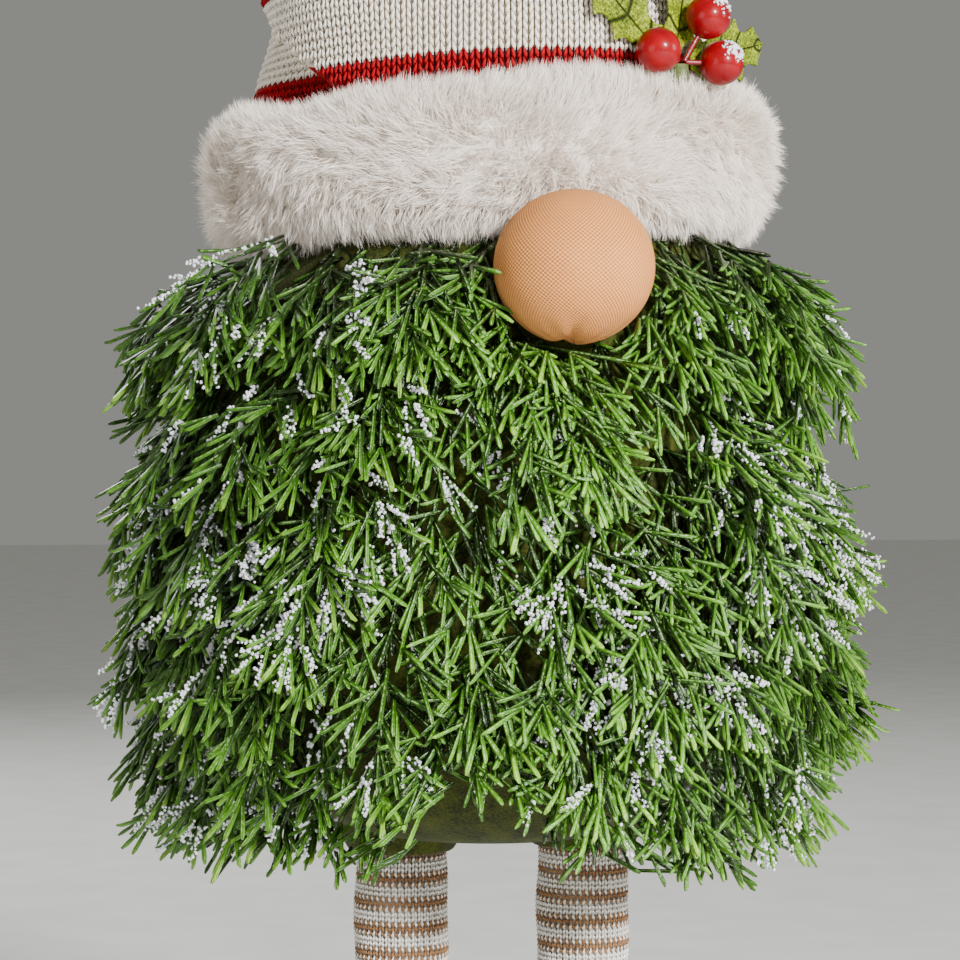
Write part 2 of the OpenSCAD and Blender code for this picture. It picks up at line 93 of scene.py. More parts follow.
def body_radius(z):
    """Outer radius of the felt body at height z."""
    low = np.clip((body_bottom + body_round_h - z) / body_round_h, 0, 1)
    high = np.clip((z - (body_top - shoulder_h)) / shoulder_h, 0, 1)
    swell = np.sqrt(1 - low ** 2)
    close = np.sqrt(1 - high ** 2)
    return np.minimum(
        body_foot_r + (body_r - body_foot_r) * swell, crown_r + (body_r - crown_r) * close
    )


def outwards(turn):
    """Unit vectors away from the body's axis, turned from the front towards +X."""
    return np.stack([np.sin(turn), -np.cos(turn), np.zeros_like(turn)], -1)


def sideways(turn):
    return np.stack([np.cos(turn), np.sin(turn), np.zeros_like(turn)], -1)


def unit(v):
    return v / np.maximum(np.linalg.norm(v, axis=-1, keepdims=True), 1e-9)


UP = np.array([0.0, 0.0, 1.0])


# ------------------------------------------------------------------ camera, light and floor
def stand_camera():
    """Level, in front and a little to the viewer's left, as high as the beard's middle."""
    away = 900 * MM
    turn = math.radians(-14.2)
    back = Vector((math.sin(turn), -math.cos(turn), 0))
    right = Vector((math.cos(turn), math.sin(turn), 0))
    camera = linked("camera", bpy.data.cameras.new("camera"))
    camera.location = back * away - right * 2.7 * MM + Vector((0, 0, 306.7 * MM))
    camera.rotation_euler = (-back).to_track_quat("-Z", "Y").to_euler()
    camera.data.sensor_width = 36
    camera.data.lens = 101.25
    bpy.context.scene.camera = camera


def light_up():
    """A key in front and to the right, a weak fill on the left and a rim from behind."""
    target = Vector((0, 0, 0.33))
    for name, at, size, power in [
        ("key", (0.5, -1.75, 0.93), 0.3, 80),
        ("side", (1.75, -0.75, 0.75), 0.8, 13),
        ("fill", (-1.7, -1.5, 0.5), 1.3, 11),
        ("rim", (-0.4, 1.9, 1.6), 1.0, 24),
    ]:
        lamp = bpy.data.lights.new(name, "AREA")
        lamp.shape = "DISK"
        lamp.size = size
        lamp.energy = power
        shown = linked(name, lamp)
        shown.location = at
        shown.rotation_euler = (target - Vector(at)).to_track_quat("-Z", "Y").to_euler()
    world = bpy.data.worlds.new("studio")
    world.use_nodes = True
    world.node_tree.nodes["Background"].inputs["Color"].default_value = linear("#cfcfca")
    world.node_tree.nodes["Background"].inputs["Strength"].default_value = 0.42
    bpy.context.scene.world = world


# ------------------------------------------------------------------ materials
def linear(code):
    """An sRGB hex colour as linear red, green, blue and alpha."""
    parts = [int(code[i:i + 2], 16) / 255 for i in (1, 3, 5)]
    return (*[p / 12.92 if p <= 0.04045 else ((p + 0.055) / 1.055) ** 2.4 for p in parts], 1.0)


def add(tree, kind, inputs=None, stops=(), **settings):
    """Adds a shader node. An input takes a value, an output, or a node for its first output."""
    made = tree.nodes.new("ShaderNode" + kind)
    for name, value in settings.items():
        setattr(made, name, value)
    for i, (place, code) in enumerate(stops):
        ends = made.color_ramp.elements
        stop = ends[0] if i == 0 else ends[-1] if i == len(stops) - 1 else ends.new(place)
        stop.position = place
        stop.color = linear(code)
    for name, value in (inputs or {}).items():
        if isinstance(value, bpy.types.Node):
            value = value.outputs[0]
        if isinstance(value, bpy.types.NodeSocket):
            tree.links.new(value, made.inputs[name])
        else:
            made.inputs[name].default_value = value
    return made


def new_material(name, **sockets):
    """A material with a Principled shader. Spaces in a socket's name are written as _."""
    material = bpy.data.materials.new(name)
    material.use_nodes = True
    shader = material.node_tree.nodes["Principled BSDF"]
    for socket, value in sockets.items():
        shader.inputs[socket.replace("_", " ")].default_value = value
    return material, material.node_tree, shader


def wire(tree, shader, colour, height=None, deep=0.0, strength=1.0):
    """Feeds a shader its colour, and a bump of the given depth."""
    tree.links.new(colour.outputs["Color"], shader.inputs["Base Color"])
    if height is not None:
        made = add(tree, "Bump", {"Height": height, "Distance": deep, "Strength": strength})
        tree.links.new(made.outputs["Normal"], shader.inputs["Normal"])


def carried(tree):
    """What gathered() writes on its points: shade along a shape, its tone, and turns around it."""
    return (
        add(tree, "Attribute", attribute_name=name).outputs["Fac"]
        for name in ("shade", "tone", "around")
    )


def toned(tree, along, tone):
    """A place on a colour ramp: the shade along a shape, moved by the shape's own tone."""
    shift = add(tree, "Math", {0: tone, 1: 0.3, 2: -0.15}, operation="MULTIPLY_ADD")
    return add(tree, "Math", {0: along, 1: shift}, operation="ADD", use_clamp=True)


def pine_needles():
    """Moulded polyethylene greenery: satin, dark in the tuft and lime where the needles end."""
    material, tree, shader = new_material("moulded_pe_pine", IOR=1.5, Roughness=0.28)
    ripe, tone, around = carried(tree)
    # Moulded ridges run along each needle. Painted highlights lie on their crests, broken into
    # dots, and painted shade darkens the needle between them
    ridges = add(tree, "Math", {0: around, 1: 6 * math.pi}, operation="MULTIPLY")
    wave = add(tree, "Math", {0: ridges}, operation="SINE")
    shift = add(tree, "Math", {0: tone, 1: 0.36, 2: -0.18}, operation="MULTIPLY_ADD")
    # Painted highlight and shade across each needle: lighter on the crests, darker between them
    across = add(tree, "Math", {0: wave, 1: 0.1, 2: shift}, operation="MULTIPLY_ADD")
    place = add(tree, "Math", {0: ripe, 1: across}, operation="ADD", use_clamp=True)
    green = add(tree, "ValToRGB", {"Fac": place}, stops=[
        (0.0, "#132008"), (0.25, "#284a0f"), (0.55, "#447516"), (0.85, "#619a21"),
        (1.0, "#8abb37"),
    ])
    spot = add(tree, "TexCoord").outputs["Object"]
    broken = add(tree, "TexNoise", {"Vector": spot, "Scale": 1000.0, "Detail": 2.0})
    crest = add(
        tree, "Math", {0: wave, 1: 4.0, 2: -2.6}, operation="MULTIPLY_ADD", use_clamp=True
    )
    glint_breaks = add(
        tree, "Math", {0: broken, 1: 9.0, 2: -4.2}, operation="MULTIPLY_ADD", use_clamp=True
    )
    painted_glint = add(tree, "Math", {0: crest, 1: glint_breaks}, operation="MULTIPLY")
    part = add(tree, "Math", {0: painted_glint, 1: 0.6}, operation="MULTIPLY")
    # Painted glint: pale green #c6d8a0 mixed in on the crests where the dots fall
    pale = add(tree, "MixRGB", {"Fac": part, "Color1": green, "Color2": linear("#c6d8a0")})
    height = add(tree, "Math", {0: broken, 1: 3.0, 2: wave}, operation="MULTIPLY_ADD")
    wire(tree, shader, pale, height, 0.22 * MM, 0.9)
    return material


def snow_beads():
    """Ground polystyrene foam glued on as snow: matt, very white."""
    material, tree, shader = new_material("foam_snow", IOR=1.5, Roughness=0.62)
    tone = list(carried(tree))[1]
    wire(tree, shader, add(
        tree, "ValToRGB", {"Fac": tone}, stops=[(0.0, "#d9dbe0"), (1.0, "#fbfbff")]
    ))
    return material


def wool_felt(name, dark, light, sheen=0.3):
    """Needled felt: matted fibres give a soft mottle, a fine nap and a sheen at the edge."""
    material, tree, shader = new_material(
        name, Roughness=0.92, Specular_IOR_Level=0.2, Sheen_Weight=sheen, Sheen_Roughness=0.5
    )
    spot = add(tree, "TexCoord").outputs["Object"]
    # Clumps about 9 mm apart, and fibres at 0.9 mm
    mottle = add(
        tree, "TexNoise", {"Vector": spot, "Scale": 110.0, "Detail": 5.0, "Roughness": 0.65}
    )
    fibres = add(tree, "TexNoise", {"Vector": spot, "Scale": 1000.0 / 0.9, "Detail": 3.0})
    both = add(tree, "Math", {0: mottle, 1: fibres}, operation="ADD")
    halved = add(tree, "Math", {0: both, 1: 0.5}, operation="MULTIPLY")
    colour = add(tree, "ValToRGB", {"Fac": halved}, stops=[(0.38, dark), (0.62, light)])
    wire(tree, shader, colour, fibres, 0.6 * MM, 0.6)
    return material


def plush_fur(name, root, middle_tone, tip):
    """Acrylic plush: painted shade makes the pile grey at its roots, near white at the tips."""
    material, tree, shader = new_material(name, Roughness=0.55, IOR=1.49, Sheen_Weight=0.25)
    along, tone, _ = carried(tree)
    wire(tree, shader, add(
        tree, "ValToRGB", {"Fac": toned(tree, along, tone)},
        stops=[(0.0, root), (0.35, middle_tone), (0.8, tip)],
    ))
    return material


def yarn(name, dark, light, sheen=0.2):
    """Spun acrylic yarn: dull, with painted shade that darkens it between the stitches, and with
    the twist of its plies.
    """
    material, tree, shader = new_material(
        name, Roughness=0.85, Specular_IOR_Level=0.2, Sheen_Weight=sheen, Sheen_Roughness=0.5
    )
    along, tone, around = carried(tree)
    place = toned(tree, along, tone)
    colour = add(tree, "ValToRGB", {"Fac": place}, stops=[(0.0, dark), (0.5, light)])
    plies = add(tree, "Math", {0: along, 1: 3.0, 2: around}, operation="MULTIPLY_ADD")
    # The twist turns twice round for each turn of the yarn
    turned = add(tree, "Math", {0: plies, 1: 12.566}, operation="MULTIPLY")
    twist = add(tree, "Math", {0: turned}, operation="SINE")
    wire(tree, shader, colour, twist, 0.12 * MM, 0.7)
    return material


def fine_jersey():
    """Tan nylon jersey stretched over the nose: a fine rib of stitches about 1.3 mm apart."""
    material, tree, shader = new_material("tan_jersey", Roughness=0.85)
    coordinates = add(tree, "TexCoord").outputs
    parts = add(tree, "SeparateXYZ", {"Vector": coordinates["UV"]}).outputs
    # The map runs once round the nose and once from pole to pole
    waves = []
    for side, stitches in (("X", 100), ("Y", 56)):
        turns = add(
            tree, "Math", {0: parts[side], 1: 2 * math.pi * stitches}, operation="MULTIPLY"
        )
        waves.append(add(tree, "Math", {0: turns}, operation="SINE"))
    dots = add(tree, "Math", {0: waves[0], 1: waves[1]}, operation="MULTIPLY")
    level = add(tree, "Math", {0: dots, 1: 0.5, 2: 0.5}, operation="MULTIPLY_ADD")
    spots = add(tree, "TexNoise", {"Vector": coordinates["Object"], "Scale": 60.0})
    mixed = add(tree, "Math", {0: spots, 1: 0.35, 2: level}, operation="MULTIPLY_ADD")
    colour = add(tree, "ValToRGB", {"Fac": mixed}, stops=[
        (0.1, "#84491a"), (0.55, "#c97c38"), (1.0, "#e6a05a"),
    ])
    wire(tree, shader, colour, level, 0.25 * MM, 0.8)
    return material


def lacquered_berry():
    """Red lacquered foam ball: deep colour under a clear gloss, faintly uneven."""
    material, tree, shader = new_material(
        "red_lacquer", Roughness=0.35, IOR=1.45, Specular_IOR_Level=0.15,
        Coat_Weight=0.3, Coat_Roughness=0.05,
    )
    spot = add(tree, "TexCoord").outputs["Object"]
    cloud = add(tree, "TexNoise", {"Vector": spot, "Scale": 140.0, "Detail": 3.0})
    colour = add(tree, "ValToRGB", {"Fac": cloud}, stops=[(0.3, "#6e0008"), (0.7, "#96000e")])
    wire(tree, shader, colour, cloud, 0.15 * MM, 0.3)
    return material


def flocked_leaf():
    """Card leaf with nylon flock and glitter: grainy lime green, dark veins to its spines."""
    material, tree, shader = new_material("flocked_leaf", Specular_IOR_Level=0.2)
    coordinates = add(tree, "TexCoord").outputs
    flat = add(tree, "SeparateXYZ", {"Vector": coordinates["UV"]}).outputs
    # The map's X runs across the leaf and its Y from the stalk to the tip
    off = add(tree, "Math", {0: flat["X"], 1: -0.5}, operation="ADD")
    aside = add(tree, "Math", {0: off}, operation="ABSOLUTE")
    rise = add(tree, "Math", {0: aside, 1: -0.16, 2: flat["Y"]}, operation="MULTIPLY_ADD")
    turns = add(tree, "Math", {0: rise, 1: 4.0, 2: -0.06}, operation="MULTIPLY_ADD")
    part = add(tree, "Math", {0: turns}, operation="FRACT")
    centred = add(tree, "Math", {0: part, 1: -0.5}, operation="ADD")
    side_vein = add(tree, "Math", {0: centred}, operation="ABSOLUTE")
    middle_vein = add(tree, "Math", {0: aside, 1: 2.6}, operation="MULTIPLY")
    nearest = add(tree, "Math", {0: side_vein, 1: middle_vein}, operation="MINIMUM")
    blade = add(
        tree, "Math", {0: nearest, 1: 16.0, 2: -0.15}, operation="MULTIPLY_ADD", use_clamp=True
    )
    grain, patch = (
        add(tree, "TexNoise", {"Vector": coordinates["Object"], "Scale": scale, "Detail": detail})
        for scale, detail in ((1300.0, 2.0), (90.0, 3.0))
    )
    both = add(tree, "Math", {0: grain, 1: 1.5, 2: patch}, operation="MULTIPLY_ADD")
    level = add(
        tree, "Math", {0: both, 1: 1.1, 2: -0.85}, operation="MULTIPLY_ADD", use_clamp=True
    )
    shown = add(tree, "Math", {0: level, 1: blade}, operation="MULTIPLY")
    colour = add(tree, "ValToRGB", {"Fac": shown}, stops=[
        (0.0, "#141a04"), (0.25, "#424f06"), (0.55, "#6d7d0c"), (0.9, "#a9b32c"),
    ])
    gloss = add(tree, "ValToRGB", {"Fac": grain}, stops=[(0.6, "#d0d0d0"), (0.68, "#404040")])
    tree.links.new(gloss.outputs["Color"], shader.inputs["Roughness"])
    height = add(tree, "Math", {0: blade, 1: 1.5, 2: grain}, operation="MULTIPLY_ADD")
    wire(tree, shader, colour, height, 0.5 * MM, 0.9)
    return material


def grained(name, dark, light, grain_mm, roughness, metallic=0.0, height=0.2):
    """A plain moulded, cast, drawn or cut surface: two near colours in grain of a given size."""
    material, tree, shader = new_material(name, Metallic=metallic)
    spot = add(tree, "TexCoord").outputs["Object"]
    grain = add(tree, "TexNoise", {"Vector": spot, "Scale": 1000.0 / grain_mm, "Detail": 4.0})
    colour = add(tree, "ValToRGB", {"Fac": grain}, stops=[(0.35, dark), (0.65, light)])
    gloss = add(
        tree, "Math", {0: grain, 1: 0.2, 2: roughness - 0.1}, operation="MULTIPLY_ADD"
    )
    tree.links.new(gloss.outputs[0], shader.inputs["Roughness"])
    wire(tree, shader, colour, grain, height * MM, 0.4)
    return material


# ------------------------------------------------------------------ modelling tools
def alone(obj):
    """Selects obj and nothing else, and makes it active."""
    bpy.ops.object.select_all(action="DESELECT")
    obj.select_set(True)
    bpy.context.view_layer.objects.active = obj
    return obj


def new_piece(name, operator, **options):
    """Adds a primitive with a bpy.ops operator, with nothing else selected, and names it."""
    bpy.ops.object.select_all(action="DESELECT")
    operator(**options)
    obj = bpy.context.object
    obj.name = name
    obj.data.name = name
    return obj


def settle(obj):
    """Moves obj's place, turn and size into its mesh, and closes and turns its faces outwards."""
    alone(obj)
    bpy.ops.object.transform_apply(location=True, rotation=True, scale=True)
    bpy.ops.object.mode_set(mode="EDIT")
    bpy.ops.mesh.select_all(action="SELECT")
    bpy.ops.mesh.remove_doubles(threshold=0.01 * MM)
    bpy.ops.mesh.normals_make_consistent(inside=False)
    bpy.ops.object.mode_set(mode="OBJECT")
    bpy.ops.object.shade_smooth()
    return obj


def drawn_up(name, profile, sides):
    """A closed round shape, extruded ring by ring up a list of (radius, height)."""
    radius, height = profile[0]
    obj = new_piece(
        name, bpy.ops.mesh.primitive_circle_add, vertices=sides, radius=radius,
        fill_type="NGON", location=(0, 0, height),
    )
    bpy.ops.object.transform_apply(location=True)
    bpy.ops.object.mode_set(mode="EDIT")
    for next_radius, next_height in profile[1:]:
        bpy.ops.mesh.extrude_region_move(
            TRANSFORM_OT_translate={"value": (0, 0, next_height - height)}
        )
        grow = next_radius / radius
        bpy.ops.transform.resize(value=(grow, grow, 1), center_override=(0, 0, next_height))
        radius, height = next_radius, next_height
    bpy.ops.mesh.select_all(action="SELECT")
    bpy.ops.mesh.remove_doubles(threshold=1e-5)
    bpy.ops.mesh.normals_make_consistent(inside=False)
    bpy.ops.object.mode_set(mode="OBJECT")
    bpy.ops.object.shade_smooth()
    return obj


def points_of(obj):
    found = np.empty(len(obj.data.vertices) * 3, np.float32)
    obj.data.vertices.foreach_get("co", found)
    return found.reshape(-1, 3).astype(float)


def move_points(obj, points):
    obj.data.vertices.foreach_set("co", np.asarray(points, np.float32).ravel())
    obj.data.update()


def use_modifier(obj, kind, **settings):
    """Adds a modifier and applies it."""
    alone(obj)
    added = obj.modifiers.new(kind.lower(), kind)
    for name, value in settings.items():
        setattr(added, name, value)
    bpy.ops.object.modifier_apply(modifier=added.name)
    return obj


def paint(obj, *materials):
    obj.data.materials.clear()
    for material in materials:
        obj.data.materials.append(material)
    return obj


def linked(name, data):
    """A new object in the scene with this mesh, light or camera."""
    obj = bpy.data.objects.new(name, data)
    bpy.context.scene.collection.objects.link(obj)
    return obj


class Shape:
    """A small shape that is copied many times. z runs along it, from 0 to 1."""

    def __init__(self, points, faces):
        self.points = np.asarray(points, float)
        self.corners = np.array([i for face in faces for i in face])
        self.sizes = np.array([len(face) for face in faces])
        self.around = np.arctan2(self.points[:, 1], self.points[:, 0]) / (2 * math.pi) + 0.5

    @classmethod
    def taken_from(cls, obj):
        shape = cls(points_of(obj), [tuple(face.vertices) for face in obj.data.polygons])
        bpy.data.objects.remove(obj)
        return shape


def copies(shape, at, x, y, z, bend=None, tone=None, low=0.0, high=1.0, material=0):
    """Copies of a shape, one for each row of at, x, y and z. bend moves its far end."""
    count, p = len(at), shape.points
    made = at[:, None] + p[None, :, 0:1] * x[:, None] + p[None, :, 1:2] * y[:, None]
    made = made + p[None, :, 2:3] * z[:, None]
    if bend is not None:
        made = made + p[None, :, 2:3] ** 2 * bend[:, None]
    low, high = np.broadcast_to(low, count), np.broadcast_to(high, count)
    tone = draw.random(count) if tone is None else np.broadcast_to(tone, count)
    return {
        "points": made.reshape(-1, 3),
        "corners": (shape.corners[None] + np.arange(count)[:, None] * len(p)).ravel(),
        "sizes": np.tile(shape.sizes, count),
        "shade": (low[:, None] + (high - low)[:, None] * p[None, :, 2]).ravel(),
        "tone": np.repeat(tone, len(p)),
        "around": np.tile(shape.around, count),
        "material": np.full(count * len(shape.sizes), material),
    }


def upright(sizes):
    """The three axes of copies that stand unturned, one size for each."""
    return [sizes * np.eye(3)[i] for i in range(3)]


# Columns in the map of a piece that is made of copies
TONES = 16


def gathered(name, batches, *materials):
    """One piece of many copied shapes. Its map has a column for each tone, and runs up it with
    the shade."""
    offset = np.cumsum([0] + [len(b["points"]) for b in batches])
    joined = {k: np.concatenate([b[k] for b in batches]) for k in batches[0] if k != "corners"}
    corners = np.concatenate([b["corners"] + o for b, o in zip(batches, offset)])
    tone = (np.floor(np.clip(joined["tone"], 0, 0.999) * TONES) + 0.5) / TONES
    starts = np.concatenate([[0], np.cumsum(joined["sizes"])[:-1]])
    mesh = bpy.data.meshes.new(name)
    mesh.vertices.add(len(joined["points"]))
    mesh.vertices.foreach_set("co", joined["points"].astype(np.float32).ravel())
    mesh.loops.add(len(corners))
    mesh.loops.foreach_set("vertex_index", corners.astype(np.int32))
    mesh.polygons.add(len(starts))
    mesh.polygons.foreach_set("loop_start", starts.astype(np.int32))
    mesh.update(calc_edges=True)
    mesh.shade_smooth()
    for key, values in (("shade", joined["shade"]), ("tone", tone), ("around", joined["around"])):
        attribute = mesh.attributes.new(key, "FLOAT", "POINT")
        attribute.data.foreach_set("value", values.astype(np.float32))
    which = np.repeat(joined["material"], joined["sizes"])
    u = tone[corners] + (joined["around"][corners] - 0.5) * 0.8 / TONES
    v = (which + 0.02 + 0.96 * np.clip(joined["shade"][corners], 0, 1)) / len(materials)
    layer = mesh.uv_layers.new(name="OFBake")
    layer.data.foreach_set("uv", np.stack([u, v], -1).astype(np.float32).ravel())
    for material in materials:
        mesh.materials.append(material)
    mesh.polygons.foreach_set("material_index", joined["material"].astype(np.int32))
    return linked(name, mesh)


# ------------------------------------------------------------------ beard
# How far each ring's sprays are drawn in from its CAD ring, in mm, and the hem's height
DRAWN_IN = (0, 1, 4, 8, 12, 17, 16, 12)
HEM_Z = 187 * MM
# How far out the sprays under the cuff reach
COLLAR_R = 114 * MM
needle = Shape.taken_from(drawn_up("needle", [(0.8, 0), (1, 0.88), (0.55, 1)], 5))
bead = Shape.taken_from(new_piece(
    "bead", bpy.ops.mesh.primitive_uv_sphere_add, segments=4, ring_count=2, radius=1
))


def frond(length, bare):
    """A spray laid flat: stem, branches and forked needles, each with (start, end, half width,
    dark, light). x runs sideways, y along the stem, whose first part is bare, and z off the
    felt."""
    parts = []

    def grow(start, degrees, reach, half_width, dark, light, lift):
        angle = math.radians(degrees)
        end = start + reach * np.array([math.sin(angle), math.cos(angle), lift])
        parts.append((start, end, half_width * MM, dark, light))
        return end

    pieces = 5
    for i in range(pieces):
        a, b = length * i / pieces, length * (i + 1) / pieces
        ripe = 0.05 + 0.05 * i
        parts.append((np.array([0, a, 0]), np.array([0, b, 0]), 0.95 * MM, ripe, ripe + 0.03))
    y = bare
    while y < length - 7 * MM:
        for side in (-1, 1):
            if draw.random() < 0.08:
                continue
            share = y / length
            angle = side * draw.uniform(22, 42)
            reach = draw.uniform(0.8, 1.2) * (13 + 15 * math.sin(math.pi * min(1, 0.3 + share)))
            start = np.array([0, y + draw.uniform(-2.5, 2.5) * MM, 0])
            lift = draw.uniform(-0.2, 0.28)
            ripe = 0.08 + 0.25 * share
            end = grow(start, angle, reach * MM, 0.74, ripe, ripe + 0.12, lift)
            for along in (0.38, 0.7):
                fork = angle + draw.choice([-1, 1]) * draw.uniform(16, 36)
                grow(start + (end - start) * along, fork, draw.uniform(10, 15) * MM, 0.74,
                     ripe + 0.06, ripe + 0.4, lift + draw.uniform(-0.25, 0.25))
            for fork in (-19, 1, 20):
                if draw.random() < 0.2:
                    continue
                grow(end, angle + fork + draw.uniform(-8, 8), draw.uniform(9, 15) * MM, 0.74,
                     ripe + 0.1, ripe + 0.5, lift + draw.uniform(-0.25, 0.2))
        y += draw.uniform(10.5, 14) * MM
    top = np.array([0, length, 0])
    for fork in (-22, 3, 25):
        grow(top, fork + draw.uniform(-5, 5), draw.uniform(11, 16) * MM, 0.88, 0.4, 1.0,
             draw.uniform(-0.15, 0.15))
    return parts


def arc(length, start, end, count=60):
    """A curve in the upright plane that turns evenly from one slope to another."""
    slope = np.linspace(start, end, count)
    step = length / (count - 1)
    out = np.concatenate([[0], np.cumsum(np.cos(slope[:-1]) * step)])
    rise = np.concatenate([[0], np.cumsum(np.sin(slope[:-1]) * step)])
    return slope, out, rise


def start_slope(length, end, reach):
    """The slope at the root that lets an arc of this length reach this far out."""
    tries = np.linspace(-1.35, 0.5, 75)
    reached = [arc(length, t, end)[1][-1] for t in tries]
    return tries[int(np.argmin(np.abs(np.array(reached) - reach)))]


def parted(turn):
    """How far a direction is from the middle of the parting in front, in degrees."""
    return (np.degrees(turn) + 17 + 180) % 360 - 180


def hem_height(points):
    """The lowest that a needle may reach: the hem rises where the felt shows in front."""
    turn = np.arctan2(points[:, 0], -points[:, 1])
    lift = 27 * MM * np.exp(-(parted(turn) / 12) ** 4)
    return HEM_Z + lift + 4 * MM * np.sin(5 * turn + 0.8) + 3 * MM * np.sin(13 * turn)


def hang_spray(parts, length, turn, root_r, root_z, start, end, lean):
    """Bends a flat frond along its arc, and stands it on the felt at an angle round the body."""
    slope, out, rise = arc(length, start, end)
    steps = np.linspace(0, length, len(slope))
    away, aside = outwards(np.array(turn)), sideways(np.array(turn))
    c, s = math.cos(lean), math.sin(lean)

    def placed(point):
        x, y, z = point
        x, y = c * x + s * y, c * y - s * x
        past = max(0.0, y - length)
        a = np.interp(y, steps, slope)
        o = np.interp(y, steps, out) + past * math.cos(a) - z * math.sin(a)
        r = np.interp(y, steps, rise) + past * math.sin(a) + z * math.cos(a)
        return away * (root_r + o) + aside * x + UP * (root_z + r)

    normal = away * -math.sin(end) + UP * math.cos(end)
    return [(placed(a), placed(b), normal, *rest) for a, b, *rest in parts]


def spray_tier(k, count, fronds):
    """One ring of sprays, as rows of (start, end, normal, half width, dark, light), and the
    sprays that are snowed."""
    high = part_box(f"beard_tier_{k}")[1]
    # The needles at a spray's end reach further than its stem, most of all in the lower rings
    root_z, reach = high.z, high.x - DRAWN_IN[k - 1] * MM
    rows, snow = [], []
    for i in range(count):
        turn = 2 * math.pi * (i + 0.5 * (k % 2) + draw.uniform(-0.3, 0.3)) / count
        length, parts = fronds[draw.integers(len(fronds))]
        aside = float(parted(turn))
        if k >= 7 and abs(aside) < 12:
            continue
        z = root_z + draw.uniform(-10, 6) * MM
        root_r = float(body_radius(z)) - 3 * MM
        end = math.radians(draw.uniform(-86, -44) if k < 7 else draw.uniform(-76, -40))
        start = start_slope(length, end, reach - root_r + draw.uniform(-14, 3) * MM)
        lean = math.radians(draw.normal(0, 12))
        if k >= 7 and abs(aside) < 34:
            lean += math.radians(12) * math.copysign(1, aside)
        made = hang_spray(parts, length, turn, root_r, z, start, end, lean)
        slack = draw.uniform(-7, 5) * MM
        ends = np.array([row[1] for row in made])
        made = [row for row, clear in zip(made, ends[:, 2] > hem_height(ends) + slack) if clear]
        rows += made
        if draw.random() < 0.34:
            snow.append(made)
    return rows, snow


def collar_sprays(count, fronds):
    """The sprays that come out from under the cuff and cover the body's shoulders."""
    rows, snow = [], []
    for i in range(count):
        turn = 2 * math.pi * (i + draw.uniform(-0.35, 0.35)) / count
        length, parts = fronds[draw.integers(len(fronds))]
        z = cuff_z + draw.uniform(-5, 1) * MM + brim_slope * cuff_r * math.sin(turn)
        root_r = hat_r + (-4 if i % 2 else 2) * MM
        end = math.radians(draw.uniform(-86, -50))
        start = start_slope(length, end, COLLAR_R - root_r + draw.uniform(-20, 4) * MM)
        start = min(start, math.radians(-14))
        lean = math.radians(draw.normal(0, 14))
        made = hang_spray(parts, length, turn, root_r, z, start, end, lean)
        rows += made
        if draw.random() < 0.22:
            snow.append(made)
    return rows, snow


def clear_of_nose(starts, ends):
    """True for the needles that stay outside the nose."""
    gap = nose_r + 1.2 * MM
    outside = np.ones(len(starts), bool)
    for t in (0, 0.5, 1):
        outside &= np.linalg.norm(starts + (ends - starts) * t - np.array(nose_at), axis=1) > gap
    return outside


def bead_rows(sprays):
    """Grains of snow crusted on the outer side of some branches of each snowed spray."""
    places, sizes = [], []
    for rows in sprays:
        snowing = False
        for a, b, normal, half_width, _, light in rows:
            # Neighbouring needles are snowed together
            snowing = draw.random() < (0.72 if snowing else 0.17)
            if light < 0.3 or not snowing:
                continue
            from_here = draw.uniform(0.0, 0.45)
            for _ in range(draw.integers(17, 36)):
                t = from_here + (1.03 - from_here) * draw.random()
                spread = draw.normal(0, 0.42, 3) * MM
                off = half_width + draw.uniform(0, 0.9) * MM
                places.append(a + (b - a) * t + normal * off + spread)
                sizes.append(draw.uniform(0.34, 0.6) * MM)
    return np.array(places), np.array(sizes)


def build_beard():
    pine, snow_white = pine_needles(), snow_beads()
    long, middling, short, hem, collar = (
        [(length * MM, frond(length * MM, bare * MM)) for length in lengths]
        for bare, lengths in (
            (12, (56, 60, 64, 68, 72, 76, 70, 62)), (12, (46, 50, 54, 58, 62)),
            (8, (34, 38, 42, 46)), (8, (22, 26, 30)), (3, (34, 40, 46, 52, 56)),
        )
    )
    for k in range(1, 9):
        fronds = {6: middling, 7: short, 8: hem}.get(k, long)
        rows, snowed = spray_tier(k, 40 if k < 7 else 42, fronds)
        if k == 1:
            more, more_snowed = collar_sprays(84, collar)
            rows, snowed = rows + more, snowed + more_snowed
        a, b, normal, width, dark, light = (np.array(column) for column in zip(*rows))
        width = width[:, None] * draw.uniform(0.9, 1.18, (len(rows), 1))
        b = b + draw.normal(0, 1.1 * MM, b.shape)
        brim = cuff_z - 0.5 * MM + brim_slope * b[:, 0]
        keep = clear_of_nose(a, b) & (a[:, 2] < brim + 3 * MM) & (b[:, 2] < brim + 1 * MM)
        a, b, normal, width, dark, light = (v[keep] for v in (a, b, normal, width, dark, light))
        across = unit(np.cross(b - a, normal)) * width
        thick = unit(np.cross(across, b - a)) * width * 0.85
        bend = draw.normal(0, 1.5 * MM, a.shape)
        tone = draw.random(len(a))
        needles = copies(needle, a, across, thick, b - a, bend, tone, dark, light)
        piece = gathered(f"pine_sprays_{k}", [needles], pine)
        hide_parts(f"beard_tier_{k}")
        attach(piece, "figure")
        places, sizes = bead_rows(snowed)
        inside = clear_of_nose(places, places) & (places[:, 2] < cuff_z)
        places, sizes = places[inside], sizes[inside][:, None] * 1.06
        tone = draw.random(len(places))
        # Every fourth grain has fallen off
        places, sizes, tone = (v[np.arange(len(v)) % 4 > 0] for v in (places, sizes, tone))
        lying = copies(bead, places, *upright(sizes), tone=tone)
        grains = gathered(f"snow_{k}", [lying], snow_white)
        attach(grains, "figure")


# ------------------------------------------------------------------ cuff
# One hair of the pile: a thin tapering blade
strand = Shape(
    [(-0.5, 0, 0), (0.5, 0, 0), (-0.4, 0, 0.5), (0.4, 0, 0.5), (0, 0, 1)],
    [(0, 1, 3, 2), (2, 3, 4)],
)
strand.around = strand.points[:, 0] + 0.5


